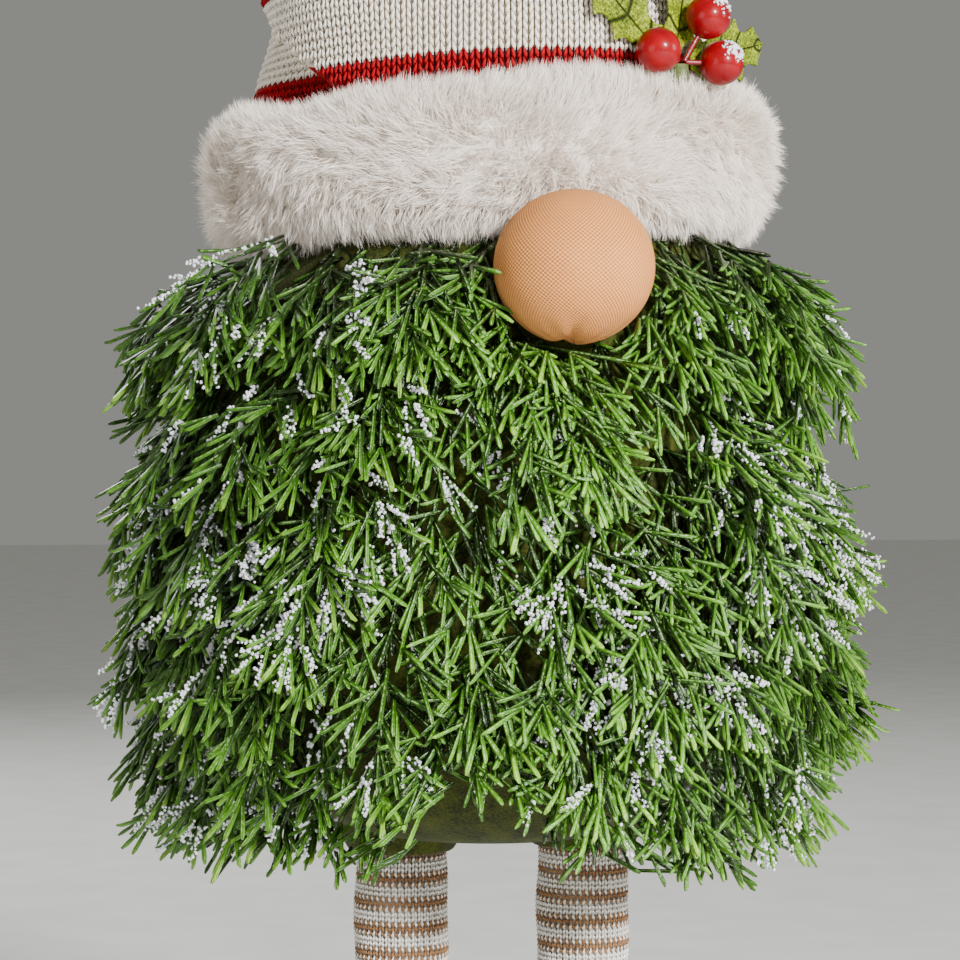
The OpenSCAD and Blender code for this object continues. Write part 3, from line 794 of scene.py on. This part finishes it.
def cuff_surface(turn, v):
    """A point on the cuff's cloth; v runs from -1 at the bottom to 1 at the top."""
    half = cuff_h / 2 - 4.5 * MM
    depth = cuff_r - hat_r - 5 * MM
    lean = v * math.pi / 2
    rise = np.sign(np.sin(lean)) * np.abs(np.sin(lean)) ** 0.8
    swell = np.abs(np.cos(lean)) ** 0.62
    waist = 0.5 * MM * np.exp(-((v + 0.12) / 0.12) ** 2)
    lumps = np.sin(5 * turn + 1.3) * np.sin(2.1 * v + turn) + 0.6 * np.sin(11 * turn + 4 * v)
    radius = hat_r + depth * swell - waist + 1.3 * MM * lumps * swell
    z = cuff_z + cuff_h / 2 + half * rise + 0.8 * MM * np.sin(7 * turn + 0.5)
    # Where the hat is creased, the top edge sinks and its fur fills the pocket of the fold
    wrapped = (turn + math.radians(54) + math.pi) % (2 * math.pi) - math.pi
    above = np.clip(v, 0, 1)
    z = z - 4.5 * MM * np.exp(-(wrapped / 0.42) ** 2) * above
    radius = radius - 7 * MM * np.exp(-((wrapped + 0.12) / 0.3) ** 2) * above ** 2
    point = outwards(turn) * radius[..., None] + UP * z[..., None]
    point[..., 2] += brim_slope * point[..., 0]
    return point


def cuff_normal(turn, v):
    e = 1e-3
    by_turn = cuff_surface(turn + e, v) - cuff_surface(turn - e, v)
    by_v = cuff_surface(turn, np.minimum(v + e, 1)) - cuff_surface(turn, np.maximum(v - e, -1))
    return unit(np.cross(by_turn, by_v))


def tufts(points, normals, combs, length, per_tuft, spread, pull):
    """Strands in tufts: each starts near its tuft's root and bends to its tuft's tip."""
    count = len(points)
    lean = unit(normals * 0.75 + combs)
    reach = length * draw.uniform(0.75, 1.12, count)
    side = unit(np.cross(normals, draw.normal(0, 1, (count, 3))))
    other = np.cross(normals, side)
    p, n, d, s, o = (np.repeat(a, per_tuft, 0) for a in (points, normals, lean, side, other))
    reach = np.repeat(reach, per_tuft)[:, None] * draw.uniform(0.8, 1.1, (count * per_tuft, 1))
    a, b = draw.normal(0, spread, (2, count * per_tuft, 1))
    root = p + s * a + o * b
    tip = p + d * reach + (s * a + o * b) * (1 - pull) + draw.normal(0, 0.35 * MM, root.shape)
    first = n * reach * 0.8
    return root, first, tip - root - first


def pile(name, root, first, second, widths, material):
    """Strands of fur as one piece, each of its own width and facing its own way."""
    facing = unit(np.cross(first + second, draw.normal(0, 1, root.shape)))
    width = draw.uniform(*widths, (len(root), 1)) * MM
    strands = copies(strand, root, facing * width, facing * 0, first, second)
    return gathered(name, [strands], material)


def build_cuff():
    # The first colour is painted shade at the roots of the pile
    white = plush_fur("white_plush", "#dccfc2", "#fdf1e6", "#fff6eb")
    backing = wool_felt("plush_backing", "#d9d0c6", "#ece4dc")
    rows, columns = 26, 168
    skin = new_piece(
        "cuff_plush_cloth", bpy.ops.mesh.primitive_torus_add, major_segments=columns,
        minor_segments=rows, major_radius=cuff_r, minor_radius=10 * MM,
    )
    # The tube's minor rings become the cuff's section, closed along the hat
    ring = np.arange(rows) / rows * 2 - 1
    turn, v = np.meshgrid(np.arange(columns) / columns * 2 * math.pi, ring, indexing="ij")
    move_points(skin, cuff_surface(turn.ravel(), v.ravel()))
    settle(skin)
    paint(skin, backing)
    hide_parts("cuff_fur", "cuff_padding")
    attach(skin, "figure")

    count = 10400
    turn = draw.uniform(0, 2 * math.pi, count)
    v = draw.uniform(-0.97, 0.97, count)
    # The cloth turns in steeply at both edges, so they take more tufts than their share
    edge = draw.random(count) < 0.16
    v = np.where(edge, np.sign(v) * draw.uniform(0.88, 0.995, count), v)
    at, normal = cuff_surface(turn, v), cuff_normal(turn, v)
    swirl = np.sin(3 * turn + 1.7) + 0.7 * np.sin(7 * turn + 2.5 * v)
    comb = (
        UP * (0.8 * v + 0.45 * swirl * (1 - v ** 2))[:, None]
        + sideways(turn) * (0.5 * np.sin(4 * turn + 3 * v + 0.6))[:, None]
        + draw.normal(0, 0.26, at.shape)
    )
    sector = np.floor(turn / (2 * math.pi) * 4).astype(int)
    nose = np.array(nose_at)
    for k in range(4):
        mine = sector == k
        root, first, second = tufts(
            at[mine], normal[mine], comb[mine], 8.8 * MM, 12, 1.3 * MM, 0.42
        )
        # The pile lies round the nose
        tip = root + first + second
        far = np.linalg.norm(tip - nose, axis=1, keepdims=True)
        second = second + np.maximum(0, nose_r + 0.8 * MM - far) * unit(tip - nose)
        keep = np.linalg.norm(root - nose, axis=1) > nose_r + 0.3 * MM
        fur = pile(f"cuff_pile_{k + 1}", root[keep], first[keep], second[keep], (0.2, 0.34), white)
        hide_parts("cuff_fur")
        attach(fur, "figure")


# ------------------------------------------------------------------ hat
# Each stripe is 25 mm high; the first cream one starts this high above the floor
STRIPE_ROWS = 9
ROW = 25 * MM / STRIPE_ROWS
STITCH = 3.6 * MM
FIRST_STRIPE = 438 * MM


def bent_line(corners, cuts, step=0.5 * MM):
    """Points every step along a line with rounded corners."""
    line = [corners[0]]
    for i in range(1, len(corners) - 1):
        before = corners[i] + (corners[i - 1] - corners[i]).normalized() * cuts[i - 1]
        after = corners[i] + (corners[i + 1] - corners[i]).normalized() * cuts[i - 1]
        for t in np.linspace(0, 1, 30):
            line.append((1 - t) ** 2 * before + 2 * t * (1 - t) * corners[i] + t ** 2 * after)
    line.append(corners[-1])
    line = np.array([list(p) for p in line])
    gone = np.concatenate([[0], np.cumsum(np.linalg.norm(np.diff(line, axis=0), axis=1))])
    wanted = np.arange(0, gone[-1], step)
    return wanted, np.stack([np.interp(wanted, gone, line[:, i]) for i in range(3)], -1)


def smoothed(values, weights):
    """A running mean, with the ends held."""
    padded = np.pad(values, len(weights) // 2, mode="edge")
    return np.convolve(padded, weights / weights.sum(), mode="valid")


class Hat:
    """The knitted tube: a middle line through both bends, and a radius at each point of it."""

    def __init__(self):
        base = Vector((0, 0, cuff_z))
        past_tip = tip_end + (tip_end - upper_bend).normalized() * 4 * MM
        self.along, self.line = bent_line(
            [base, lower_bend, upper_bend, past_tip], [22 * MM, 26 * MM]
        )
        self.at_lower, self.at_upper = (
            self.along[np.argmin(np.linalg.norm(self.line - np.array(bend), axis=1))]
            for bend in (lower_bend, upper_bend)
        )
        self.end = self.along[-1]
        start, bend_r = 70 * MM, 45 * MM
        t = np.clip((self.along - start) / (self.at_lower - start), 0, 1)
        radius = hat_r - (hat_r - bend_r) * t ** 1.35
        knots = [
            self.at_lower, self.at_upper - 4 * MM, self.at_upper + 8 * MM,
            self.at_upper + 30 * MM, self.end,
        ]
        above = np.interp(self.along, knots, [bend_r, 25.5 * MM, 21 * MM, 17 * MM, 7.5 * MM])
        radius = np.where(self.along > self.at_lower, above, radius)
        radius = smoothed(radius, np.hanning(41))
        # The last stitches are drawn together round the pompom's cord
        last = np.clip((self.along - self.end + 8 * MM) / (8 * MM), 0, 1)
        self.radius = radius * np.sqrt(1 - 0.96 * last ** 2)
        tangent = unit(np.gradient(self.line, axis=0))
        self.tangent = unit(np.stack([smoothed(column, np.ones(21)) for column in tangent.T], -1))

    def place(self, turn, s):
        """A point on the knit's outer face."""
        p = np.stack([np.interp(s, self.along, self.line[:, i]) for i in range(3)], -1)
        t = np.stack([np.interp(s, self.along, self.tangent[:, i]) for i in range(3)], -1)
        side = np.stack([t[..., 2], np.zeros_like(t[..., 0]), -t[..., 0]], -1)
        front = np.array([0.0, -1.0, 0.0])
        direction = side * np.sin(turn)[..., None] + front * np.cos(turn)[..., None]
        radius = np.interp(s, self.along, self.radius)
        soft = 1.1 * MM * np.sin(3 * turn + 14 * s / 0.1)
        soft = soft + 0.8 * MM * np.sin(5 * turn - 9 * s / 0.1 + 1)
        soft = soft * np.clip((s - 35 * MM) / (40 * MM), 0, 1)
        soft = soft * np.clip((self.end - s) / (25 * MM), 0, 1)
        # The cloth is gathered in small folds on the inner side of each bend
        inner = np.clip(-np.sin(turn), 0, 1)
        for centre, reach, depth in (
            (self.at_lower, 20 * MM, 1.6 * MM), (self.at_upper, 18 * MM, 1.8 * MM),
        ):
            wave = np.sin((s - centre) / (3.6 * MM)) * np.exp(-((s - centre) / reach) ** 2)
            soft = soft + depth * inner * wave
        made = p + direction * (radius + soft + self.crease(turn, s))[..., None]
        fade = np.clip(1 - (s - 55 * MM) / (60 * MM), 0, 1)
        made[..., 2] += brim_slope * made[..., 0] * fade
        return made

    def past_fold(self, turn, s):
        """How far a place is behind the fold on the viewer's left: 1 is 12 degrees."""
        wrapped = (turn + math.pi) % (2 * math.pi) - math.pi
        height = (s - 58 * MM) / (20 * MM)
        return (math.radians(-66) - math.radians(25) * height - wrapped) / math.radians(12)

    def fold_fade(self, s):
        """The fold's strength at a distance along the hat."""
        low = np.clip((s - 30 * MM) / (12 * MM), 0, 1)
        return low * np.clip((96 * MM - s) / (30 * MM), 0, 1)

    def crease(self, turn, s):
        """The fold, where the cloth in front overlaps what is behind it."""
        past = self.past_fold(turn, s)
        step = np.clip(past / 0.35, 0, 1)
        behind = np.exp(-(np.clip(past - 0.35, 0, None) / 1.8) ** 2)
        return -8 * MM * step * step * (3 - 2 * step) * behind * self.fold_fade(s)

    def frame(self, turn, s):
        """Sideways, outward and upward directions on the knit."""
        e = 0.5 * MM
        by_s = self.place(turn, s + e) - self.place(turn, s - e)
        by_turn = self.place(turn + 0.01, s) - self.place(turn - 0.01, s)
        side, up = unit(by_turn), unit(by_s)
        return side, unit(np.cross(side, up)), up


# Half a stitch: a fat spindle of yarn that bows off the cloth
lobe = Shape.taken_from(drawn_up("stitch_half", [(1e-6, 0), (1, 0.45), (1e-6, 1)], 5))
lobe.points[:, 1] += 0.55 * np.sin(np.pi * lobe.points[:, 2])


# low and high set the painted shade along each lobe, darker at its lower end
def knit(place, directions, rows, pitch, row, half_width, low=0.25, high=0.95):
    """Stockinette: each stitch is a V of two yarn lobes. rows is a list of (turns, heights,
    materials), with one material for each lobe."""
    batches = []
    for turns, heights, materials in rows:
        side, out, up = directions(turns, heights)
        at = place(turns, heights)
        tone = draw.random(len(turns))
        for hand, material in zip((-1, 1), materials):
            start = at + side * hand * 0.09 * pitch - up * 0.2 * row - out * 0.8 * half_width
            reach = up * row * 1.85 + side * hand * 0.35 * pitch
            batches.append(copies(
                lobe, start, side * half_width, out * half_width, reach,
                tone=tone * 0.6 + 0.4 * draw.random(len(turns)), low=low, high=high,
                material=material,
            ))
    return batches


def hat_rows(hat, start, end):
    """Rows of stitches between two distances along the hat; each stripe has its own count."""
    rows = []
    first = math.ceil((start + cuff_z - FIRST_STRIPE) / ROW)
    last = math.floor((end + cuff_z - FIRST_STRIPE) / ROW)
    for j in range(first, last + 1):
        s = FIRST_STRIPE + j * ROW - cuff_z
        stripe = math.floor(j / STRIPE_ROWS)
        middle_s = FIRST_STRIPE + (stripe + 0.5) * STRIPE_ROWS * ROW - cuff_z
        around = 2 * math.pi * np.interp(middle_s, hat.along, hat.radius)
        count = max(8, round(around / STITCH))
        turns = 2 * math.pi * np.arange(count) / count
        # The cloth turns in so sharply at the fold that its stitches don't show there
        past = hat.past_fold(turns, np.full(count, s))
        turns = turns[(past < 0.0) | (past > 0.36) | (hat.fold_fade(s) < 0.3)]
        rows.append((turns, np.full(len(turns), s), (stripe % 2, stripe % 2)))
    return rows


def knit_lining(hat, start, end, closed_end):
    """The cloth behind the stitches, so that no light comes through between them; it is painted
    with the yarn's darkest colour, as painted shade between the stitches.
    """
    steps = int((end - start) / (1.6 * MM))
    columns = 120
    turn, s = np.meshgrid(
        2 * math.pi * np.arange(columns) / columns, np.linspace(start, end, steps), indexing="ij"
    )
    out = hat.frame(turn, s)[1]
    points = (hat.place(turn, s) - out * 0.9 * MM).reshape(-1, 3)
    faces, which = [], []
    for i in range(columns):
        here, there = i * steps, (i + 1) % columns * steps
        for j in range(steps - 1):
            faces.append((here + j, there + j, there + j + 1, here + j + 1))
            # Cream stripes are 0 and red ones 1
            which.append(math.floor((s[0, j] + cuff_z - FIRST_STRIPE) / (STRIPE_ROWS * ROW)) % 2)
    if closed_end:
        cap = len(points)
        points = np.vstack([points, points.reshape(columns, steps, 3)[:, -1].mean(0)])
        for i in range(columns):
            faces.append((i * steps + steps - 1, ((i + 1) % columns) * steps + steps - 1, cap))
            which.append(which[steps - 2])
    batch = copies(
        Shape(points, faces), np.zeros((1, 3)), *upright(np.ones((1, 1))), tone=0.5, high=0.0
    )
    batch["material"] = np.array(which)
    # Its painted shade is lifted to the yarn's middle tone where it shows: in the fold and where
    # the tip is drawn together
    past = hat.past_fold(turn, s)
    wall = (past > -0.3) & (past < 0.6) & (hat.fold_fade(s) > 0.1) | (s > hat.end - 8 * MM)
    batch["shade"][:wall.size] = np.where(wall, 0.45, 0.0).ravel()
    batch["shade"][wall.size:] = 0.45
    return batch


def build_hat():
    # Each yarn's first colour is its painted shade, for the lining and the lobes' lower ends; the
    # second is the lit yarn
    cream = yarn("cream_acrylic_yarn", "#8a7c68", "#faf0e0")
    red = yarn("red_acrylic_yarn", "#240004", "#9c0010", sheen=0.0)
    hat = Hat()
    seam = (hat.at_lower + hat.at_upper) / 2
    for name, start, end in (
        ("hat_knit_lower_cloth", 34 * MM, seam), ("hat_knit_upper_cloth", seam, hat.end),
    ):
        batches = [knit_lining(hat, start, end, closed_end=end == hat.end)]
        batches += knit(
            hat.place, hat.frame, hat_rows(hat, start, end), STITCH, ROW, 0.72 * MM
        )
        cloth = gathered(name, batches, cream, red)
        if name == "hat_knit_lower_cloth":
            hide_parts("hat_knit_lower")
            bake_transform(cloth)
        else:
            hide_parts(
                "hat_knit_mid", "hat_knit_tip", "hat_stuffing_mid", "hat_stuffing_tip"
            )
            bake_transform(cloth)


def build_liner():
    """The card liner, which gives way behind the crease."""
    liner = linked("creased_liner", frame["nodes"]["hat_liner"].data.copy())
    p = points_of(liner)
    turn = np.arctan2(p[:, 0], -p[:, 1])
    wrapped = (turn + math.radians(80) + math.pi) % (2 * math.pi) - math.pi
    # The dent starts above the brim and ends below the lower bend
    dip = 13 * MM * np.exp(-(wrapped / math.radians(46)) ** 2)
    dip = dip * np.clip((p[:, 2] - 404 * MM) / (10 * MM), 0, 1)
    dip = dip * np.clip((520 * MM - p[:, 2]) / (40 * MM), 0, 1) + 1.5 * MM
    p[:, :2] *= (1 - dip / np.linalg.norm(p[:, :2], axis=1))[:, None]
    move_points(liner, p)
    paint(liner, grained("grey_card", "#8f7f66", "#b09d80", 1.2, 0.85))
    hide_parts("hat_liner")
    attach(liner, "figure")


# ------------------------------------------------------------------ socks
def build_socks():
    # Each yarn's first colour is its painted shade, for the lining and the lobes' lower ends; the
    # second is the lit yarn
    white = yarn("white_sock_yarn", "#857868", "#f6f1e8")
    brown = yarn("brown_sock_yarn", "#1f130a", "#9a7048")
    row, pitch = 1.62 * MM, 2.25 * MM
    # Two rows of white, then brown worked in with white on each side of it
    pattern = [(0, 0), (0, 0), (1, 0), (1, 1), (0, 1)]
    for hand in ("left", "right"):
        low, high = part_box(f"leg_sock_{hand}")
        middle_x, middle_y, _ = (low + high) / 2
        radius = (high.x - low.x) / 2
        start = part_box(f"boot_roll_{hand}")[0].z - 4 * MM
        axis = np.array([[middle_x, middle_y, 0]])
        count = round(2 * math.pi * radius / pitch)

        def place(turn, z, axis=axis, radius=radius):
            soft = 0.35 * MM * np.sin(2 * turn + z / (9 * MM))
            soft = soft + 0.25 * MM * np.sin(z / (4 * MM) + turn)
            off = radius - 0.3 * MM + soft
            return axis[0] + outwards(turn) * off[..., None] + UP * z[..., None]

        def directions(turn, z):
            return sideways(turn), outwards(turn), np.broadcast_to(UP, (*turn.shape, 3))

        turns = 2 * math.pi * np.arange(count) / count
        rows = [
            (turns, np.full(count, start + j * row), pattern[j % 5])
            for j in range(int((high.z - start) / row) - 1)
        ]
        # Painted shade: each lobe starts almost at the darkest colour
        batches = knit(place, directions, rows, pitch, row, 0.52 * MM, low=0.05)
        inner = radius - 0.9 * MM
        tube = Shape.taken_from(drawn_up("sock_tube", [(inner, start), (inner, high.z)], 40))
        # The lining is painted with the darkest colour, as shade between the stitches
        lining = copies(tube, axis, *upright(np.ones((1, 1))), tone=0.5, high=0.0)
        sock = gathered(f"sock_knit_{hand}", [lining, *batches], white, brown)
        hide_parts(f"leg_sock_{hand}")
        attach(sock, "figure")


# ------------------------------------------------------------------ nose
def build_nose():
    nose = new_piece(
        "nose_jersey", bpy.ops.mesh.primitive_uv_sphere_add, segments=96, ring_count=64,
        radius=nose_r, location=nose_at,
    )
    settle(nose)
    local = (points_of(nose) - np.array(nose_at)) / nose_r
    # The jersey is gathered under the nose, a little to the viewer's left
    angle = np.arctan2(local[:, 1], local[:, 0])
    under = np.clip(-local[:, 2] - 0.6, 0, 1)
    notch = 0.16 * np.exp(-(((local[:, 0] + 0.12) / 0.1) ** 2)) * under
    local = local * (1 - notch + 0.03 * np.sin(14 * angle) * under)[:, None]
    local[:, 2] *= 0.955
    local[:, 1] = np.minimum(local[:, 1], (nose_high.y - nose_at.y) / nose_r)
    move_points(nose, local * nose_r + np.array(nose_at))
    paint(nose, fine_jersey())
    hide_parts("nose_cover", "nose_core")
    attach(nose, "figure")


def build_berry(k, material, root):
    """A lacquered ball with the mark of its stem, not quite round."""
    low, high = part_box(f"berry_{k}")
    at, radius = np.array(low + high) / 2, (high.x - low.x) / 2
    berry = new_piece(
        f"lacquered_berry_{k}", bpy.ops.mesh.primitive_uv_sphere_add, segments=64,
        ring_count=40, radius=1,
    )
    local = points_of(berry)
    facing = local @ unit(root - at)
    mark = 0.035 * np.exp((facing - 1) / 0.02)
    uneven = 0.006 * np.sin(4 * local[:, 0] + 3 * local[:, 2])
    move_points(berry, at + local * (1 - mark + uneven)[:, None] * radius)
    settle(berry)
    paint(berry, material)
    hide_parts(f"berry_{k}")
    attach(berry, "figure")
    return at, radius


def build_leaf(k, material, root):
    """A spiny leaf, cupped a little and with its tip bent off the hat."""
    start, length, across, along, off = leaf_frame(f"holly_leaf_{k}", root)
    leaf = new_piece(
        f"flocked_leaf_{k}", bpy.ops.mesh.primitive_grid_add, x_subdivisions=30,
        y_subdivisions=84, size=2, calc_uvs=True,
    )
    flat = points_of(leaf)
    u, t = flat[:, 0], (flat[:, 1] + 1) / 2
    swell = np.sin(math.pi * (0.06 + 0.9 * t)) ** 0.7
    spines = 1 - np.abs(np.cos(4 * math.pi * t))
    width = 11 * MM * swell * (0.6 + 0.42 * spines ** 1.4)
    width = np.where(t > 0.94, width * (1 - t) / 0.06, width)
    cupped = 2.2 * MM * u ** 2 * np.sin(math.pi * t) * (0.3 + 0.7 * spines)
    lift = 0.5 * MM + cupped + 3.5 * MM * t ** 3
    move_points(leaf, (
        start + across * (u * width)[:, None] + along * (t * length)[:, None]
        + off * lift[:, None]
    ))
    use_modifier(leaf, "SOLIDIFY", thickness=0.8 * MM, offset=0)
    settle(leaf)
    paint(leaf, material)
    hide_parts(f"holly_leaf_{k}")
    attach(leaf, "figure")


def leaf_frame(node, root):
    """A packed leaf's start at the stalk, its length, and its directions across, along and off
    the hat."""
    points = points_of(frame["nodes"][node])
    centre = points.mean(0)
    along, across, off = np.linalg.svd(points - centre, full_matrices=False)[2]
    if (root - centre) @ along > 0:
        along = -along
    if off @ np.array([centre[0], centre[1], 0]) < 0:
        off = -off
    across = np.cross(along, off)
    span = (points - centre) @ along
    return centre + along * span.min(), span.max() - span.min(), across, along, off


# ------------------------------------------------------------------ body
def build_body():
    felt = wool_felt("olive_felt", "#1a1f06", "#444b10", sheen=0.05)
    # The rings lie closer together towards both ends, where the egg turns in
    heights = (1 - np.cos(math.pi * np.linspace(0, 1, 34))) / 2
    heights = body_bottom + (body_top - body_bottom) * heights
    body = drawn_up("body_felt", [
        (float(body_radius(z)) if z < body_top else crown_r, z) for z in heights
    ], 96)
    use_modifier(body, "SUBSURF", levels=1, render_levels=1)
    paint(body, felt)
    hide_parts("body_cover")
    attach(body, "figure")
    foot_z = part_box("body_cover")[0].z
    for hand in ("left", "right"):
        sock_low, sock_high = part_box(f"leg_sock_{hand}")
        at = (sock_low + sock_high) / 2
        r = (sock_high.x - sock_low.x) / 2
        stub = drawn_up(f"leg_stub_{hand}", [
            (r + wider * MM, foot_z + higher * MM) for wider, higher in (
                (0.4, 2), (0.4, 0), (1.5, -0.6), (2.8, 0.6), (5, 6), (9, 13), (12, 22)
            )
        ], 64)
        move_points(stub, points_of(stub) + np.array([at.x, at.y, 0]))
        use_modifier(stub, "SUBSURF", levels=1, render_levels=1)
        paint(stub, felt)
        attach(stub, "figure")


# ------------------------------------------------------------------ boots
def build_boots():
    """Stuffed felt boots, with a rolled edge sewn down at the top."""
    felt = wool_felt("boot_wool_felt", "#3b4114", "#6b7428")
    roll_felt = wool_felt("rolled_wool_felt", "#454c1a", "#7a8334")
    # The thread's first colour is its painted shade, the second the lit thread
    thread = yarn("cream_sewing_yarn", "#8a7c68", "#efe6d6")
    for hand in ("left", "right"):
        upper = linked(f"boot_felt_{hand}", frame["nodes"][f"boot_upper_{hand}"].data.copy())
        settle(upper)
        use_modifier(upper, "REMESH", mode="VOXEL", voxel_size=1.6 * MM)
        use_modifier(upper, "SMOOTH", factor=0.5, iterations=8)
        alone(upper)
        bpy.ops.object.shade_smooth()
        paint(upper, felt)
        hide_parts(f"boot_upper_{hand}", f"boot_stuffing_{hand}")
        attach(upper, "figure")

        low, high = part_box(f"boot_roll_{hand}")
        at = (low + high) / 2
        round_r = (high.z - low.z) / 2 + 0.7 * MM
        ring_r = (high.x - low.x) / 2 - round_r + 0.6 * MM
        edge = new_piece(
            f"boot_edge_{hand}", bpy.ops.mesh.primitive_torus_add, major_segments=72,
            minor_segments=20, major_radius=ring_r, minor_radius=round_r,
            location=(at.x, at.y, at.z - 0.5 * MM),
        )
        settle(edge)
        p = points_of(edge)
        turn = np.arctan2(p[:, 0] - at.x, -(p[:, 1] - at.y))
        puckers = 0.35 * MM * np.sin(9 * turn) + 0.25 * MM * np.sin(16 * turn + 1)
        move_points(edge, p + outwards(turn) * puckers[:, None])
        paint(edge, roll_felt)
        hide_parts(f"boot_roll_{hand}")
        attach(edge, "figure")

        turns = 2 * math.pi * (np.arange(20) + draw.uniform(-0.12, 0.12, 20)) / 20
        foot = np.array([at.x, at.y, low.z - 3.2 * MM])
        foot = foot + outwards(turns) * (ring_r + round_r - 1.0 * MM)
        rise = UP * (high.z - low.z + 1.2 * MM) + sideways(turns) * 0.8 * MM
        # Painted shade darkens each stitch towards its lower end
        sewn = copies(
            lobe, foot, sideways(turns) * 0.62 * MM, outwards(turns) * 1.9 * MM, rise,
            low=0.4, high=0.9,
        )
        stitches = gathered(f"boot_stitches_{hand}", [sewn], thread)
        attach(stitches, "figure")


# ------------------------------------------------------------------ holly
def build_holly():
    leaf_flock, berry_red, snow_white = flocked_leaf(), lacquered_berry(), snow_beads()
    root = np.array(middle("pick_tape"))
    for k in (1, 2, 3):
        build_leaf(k, leaf_flock, root)
    # Snow lies on the upper outer side of two of the berries
    snowed = {2: (150, (0.42, -0.62, 0.66)), 3: (260, (0.45, -0.75, 0.5))}
    places = []
    for k in (1, 2, 3):
        at, radius = build_berry(k, berry_red, root)
        if k not in snowed:
            continue
        count, side = snowed[k]
        off = unit(unit(np.array(side)) + draw.normal(0, 0.24, (count, 3)))
        lumpy = np.sin(9 * off[:, 0] + 3) * np.sin(11 * off[:, 2]) > -0.35
        proud = draw.uniform(0, 0.5, (lumpy.sum(), 1)) * MM
        places.append(at + off[lumpy] * (radius + proud))
    places = np.concatenate(places)
    sizes = draw.uniform(0.25, 0.5, (len(places), 1)) * MM
    grains = gathered("berry_snow", [copies(bead, places, *upright(sizes))], snow_white)
    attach(grains, "figure")


# ------------------------------------------------------------------ pompom
def build_pompom():
    # The first colour is painted shade at the roots of the pile
    white = plush_fur("pompom_plush", "#a59b92", "#efe9e2", "#fdfbf8")
    low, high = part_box("pompom")
    at, radius = np.array(low + high) / 2, (high.x - low.x) / 2
    core = new_piece(
        "pompom_core", bpy.ops.mesh.primitive_ico_sphere_add, subdivisions=4,
        radius=radius * 0.62, location=at,
    )
    settle(core)
    paint(core, wool_felt("pompom_backing", "#9a9087", "#b5aba1"))
    count = 1500
    direction = unit(draw.normal(0, 1, (count, 3)))
    root, first, second = tufts(
        at + direction * radius * 0.6, direction, draw.normal(0, 0.25, (count, 3)) - UP * 0.15,
        radius * 0.37, 9, 0.9 * MM, 0.4,
    )
    fur = pile("pompom_pile", root, first, second, (0.26, 0.4), white)
    for piece in (core, fur):
        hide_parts("pompom")
        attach(piece, "pompom")


# ------------------------------------------------------------------ inner pieces
def finish_inner_pieces():
    """What stays as packed: each node gets the finish of what it is made of."""
    finishes = {
        "foam": grained("eps_foam", "#dcdcd6", "#f2f2ee", 3.0, 0.8),
        "fibre": grained("polyester_fibre", "#e2e0da", "#f6f5f1", 0.8, 0.9),
        "card": grained("grey_card", "#8f7f66", "#b09d80", 1.2, 0.85),
        "band": grained("cotton_band", "#d8d5cc", "#efece4", 0.8, 0.9),
        "steel": grained("zinc_steel", "#8d9194", "#b9bdc0", 1.5, 0.35, metallic=1.0, height=0.05),
        "iron": grained("cast_iron", "#3a3b3d", "#5a5c5e", 0.9, 0.6, metallic=1.0),
        "ply": grained("birch_ply", "#b58f5f", "#d9b884", 1.6, 0.6),
        "sole": grained("dark_eva_sole", "#2b251f", "#3f372f", 0.9, 0.75, height=0.4),
        "stem": grained("lacquered_stem", "#5b0d14", "#8f1a22", 0.6, 0.25),
        "tape": grained("floral_tape", "#3d4a1b", "#5c6b2a", 0.7, 0.7),
        "fur": grained("cord_cotton", "#ddd8d0", "#f5f2ec", 0.6, 0.85),
        "roll_felt": wool_felt("rolled_felt", "#454c1a", "#7a8334"),
    }
    finishes["boot_felt"] = finishes["body_felt"] = finishes["roll_felt"]
    for name in ("hat_knit", "sock_knit", "nose_knit", "berry", "leaf_flock", "pine", "snow"):
        finishes[name] = finishes["band"]
    for part in frame["record"]["subparts"]:
        node = frame["nodes"][part["node"]]
        paint(node, finishes[part["material_slot"]])


# ------------------------------------------------------------------ the figure
stand_camera()
light_up()
floor = new_piece("floor", bpy.ops.mesh.primitive_plane_add, size=24)
paint(floor, grained("pale_floor", "#e6e6e1", "#ededea", 60.0, 0.85, height=0.0))

build_beard()
build_cuff()
build_hat()
build_liner()
build_socks()
build_nose()
build_body()
build_boots()
build_holly()
build_pompom()
finish_inner_pieces()
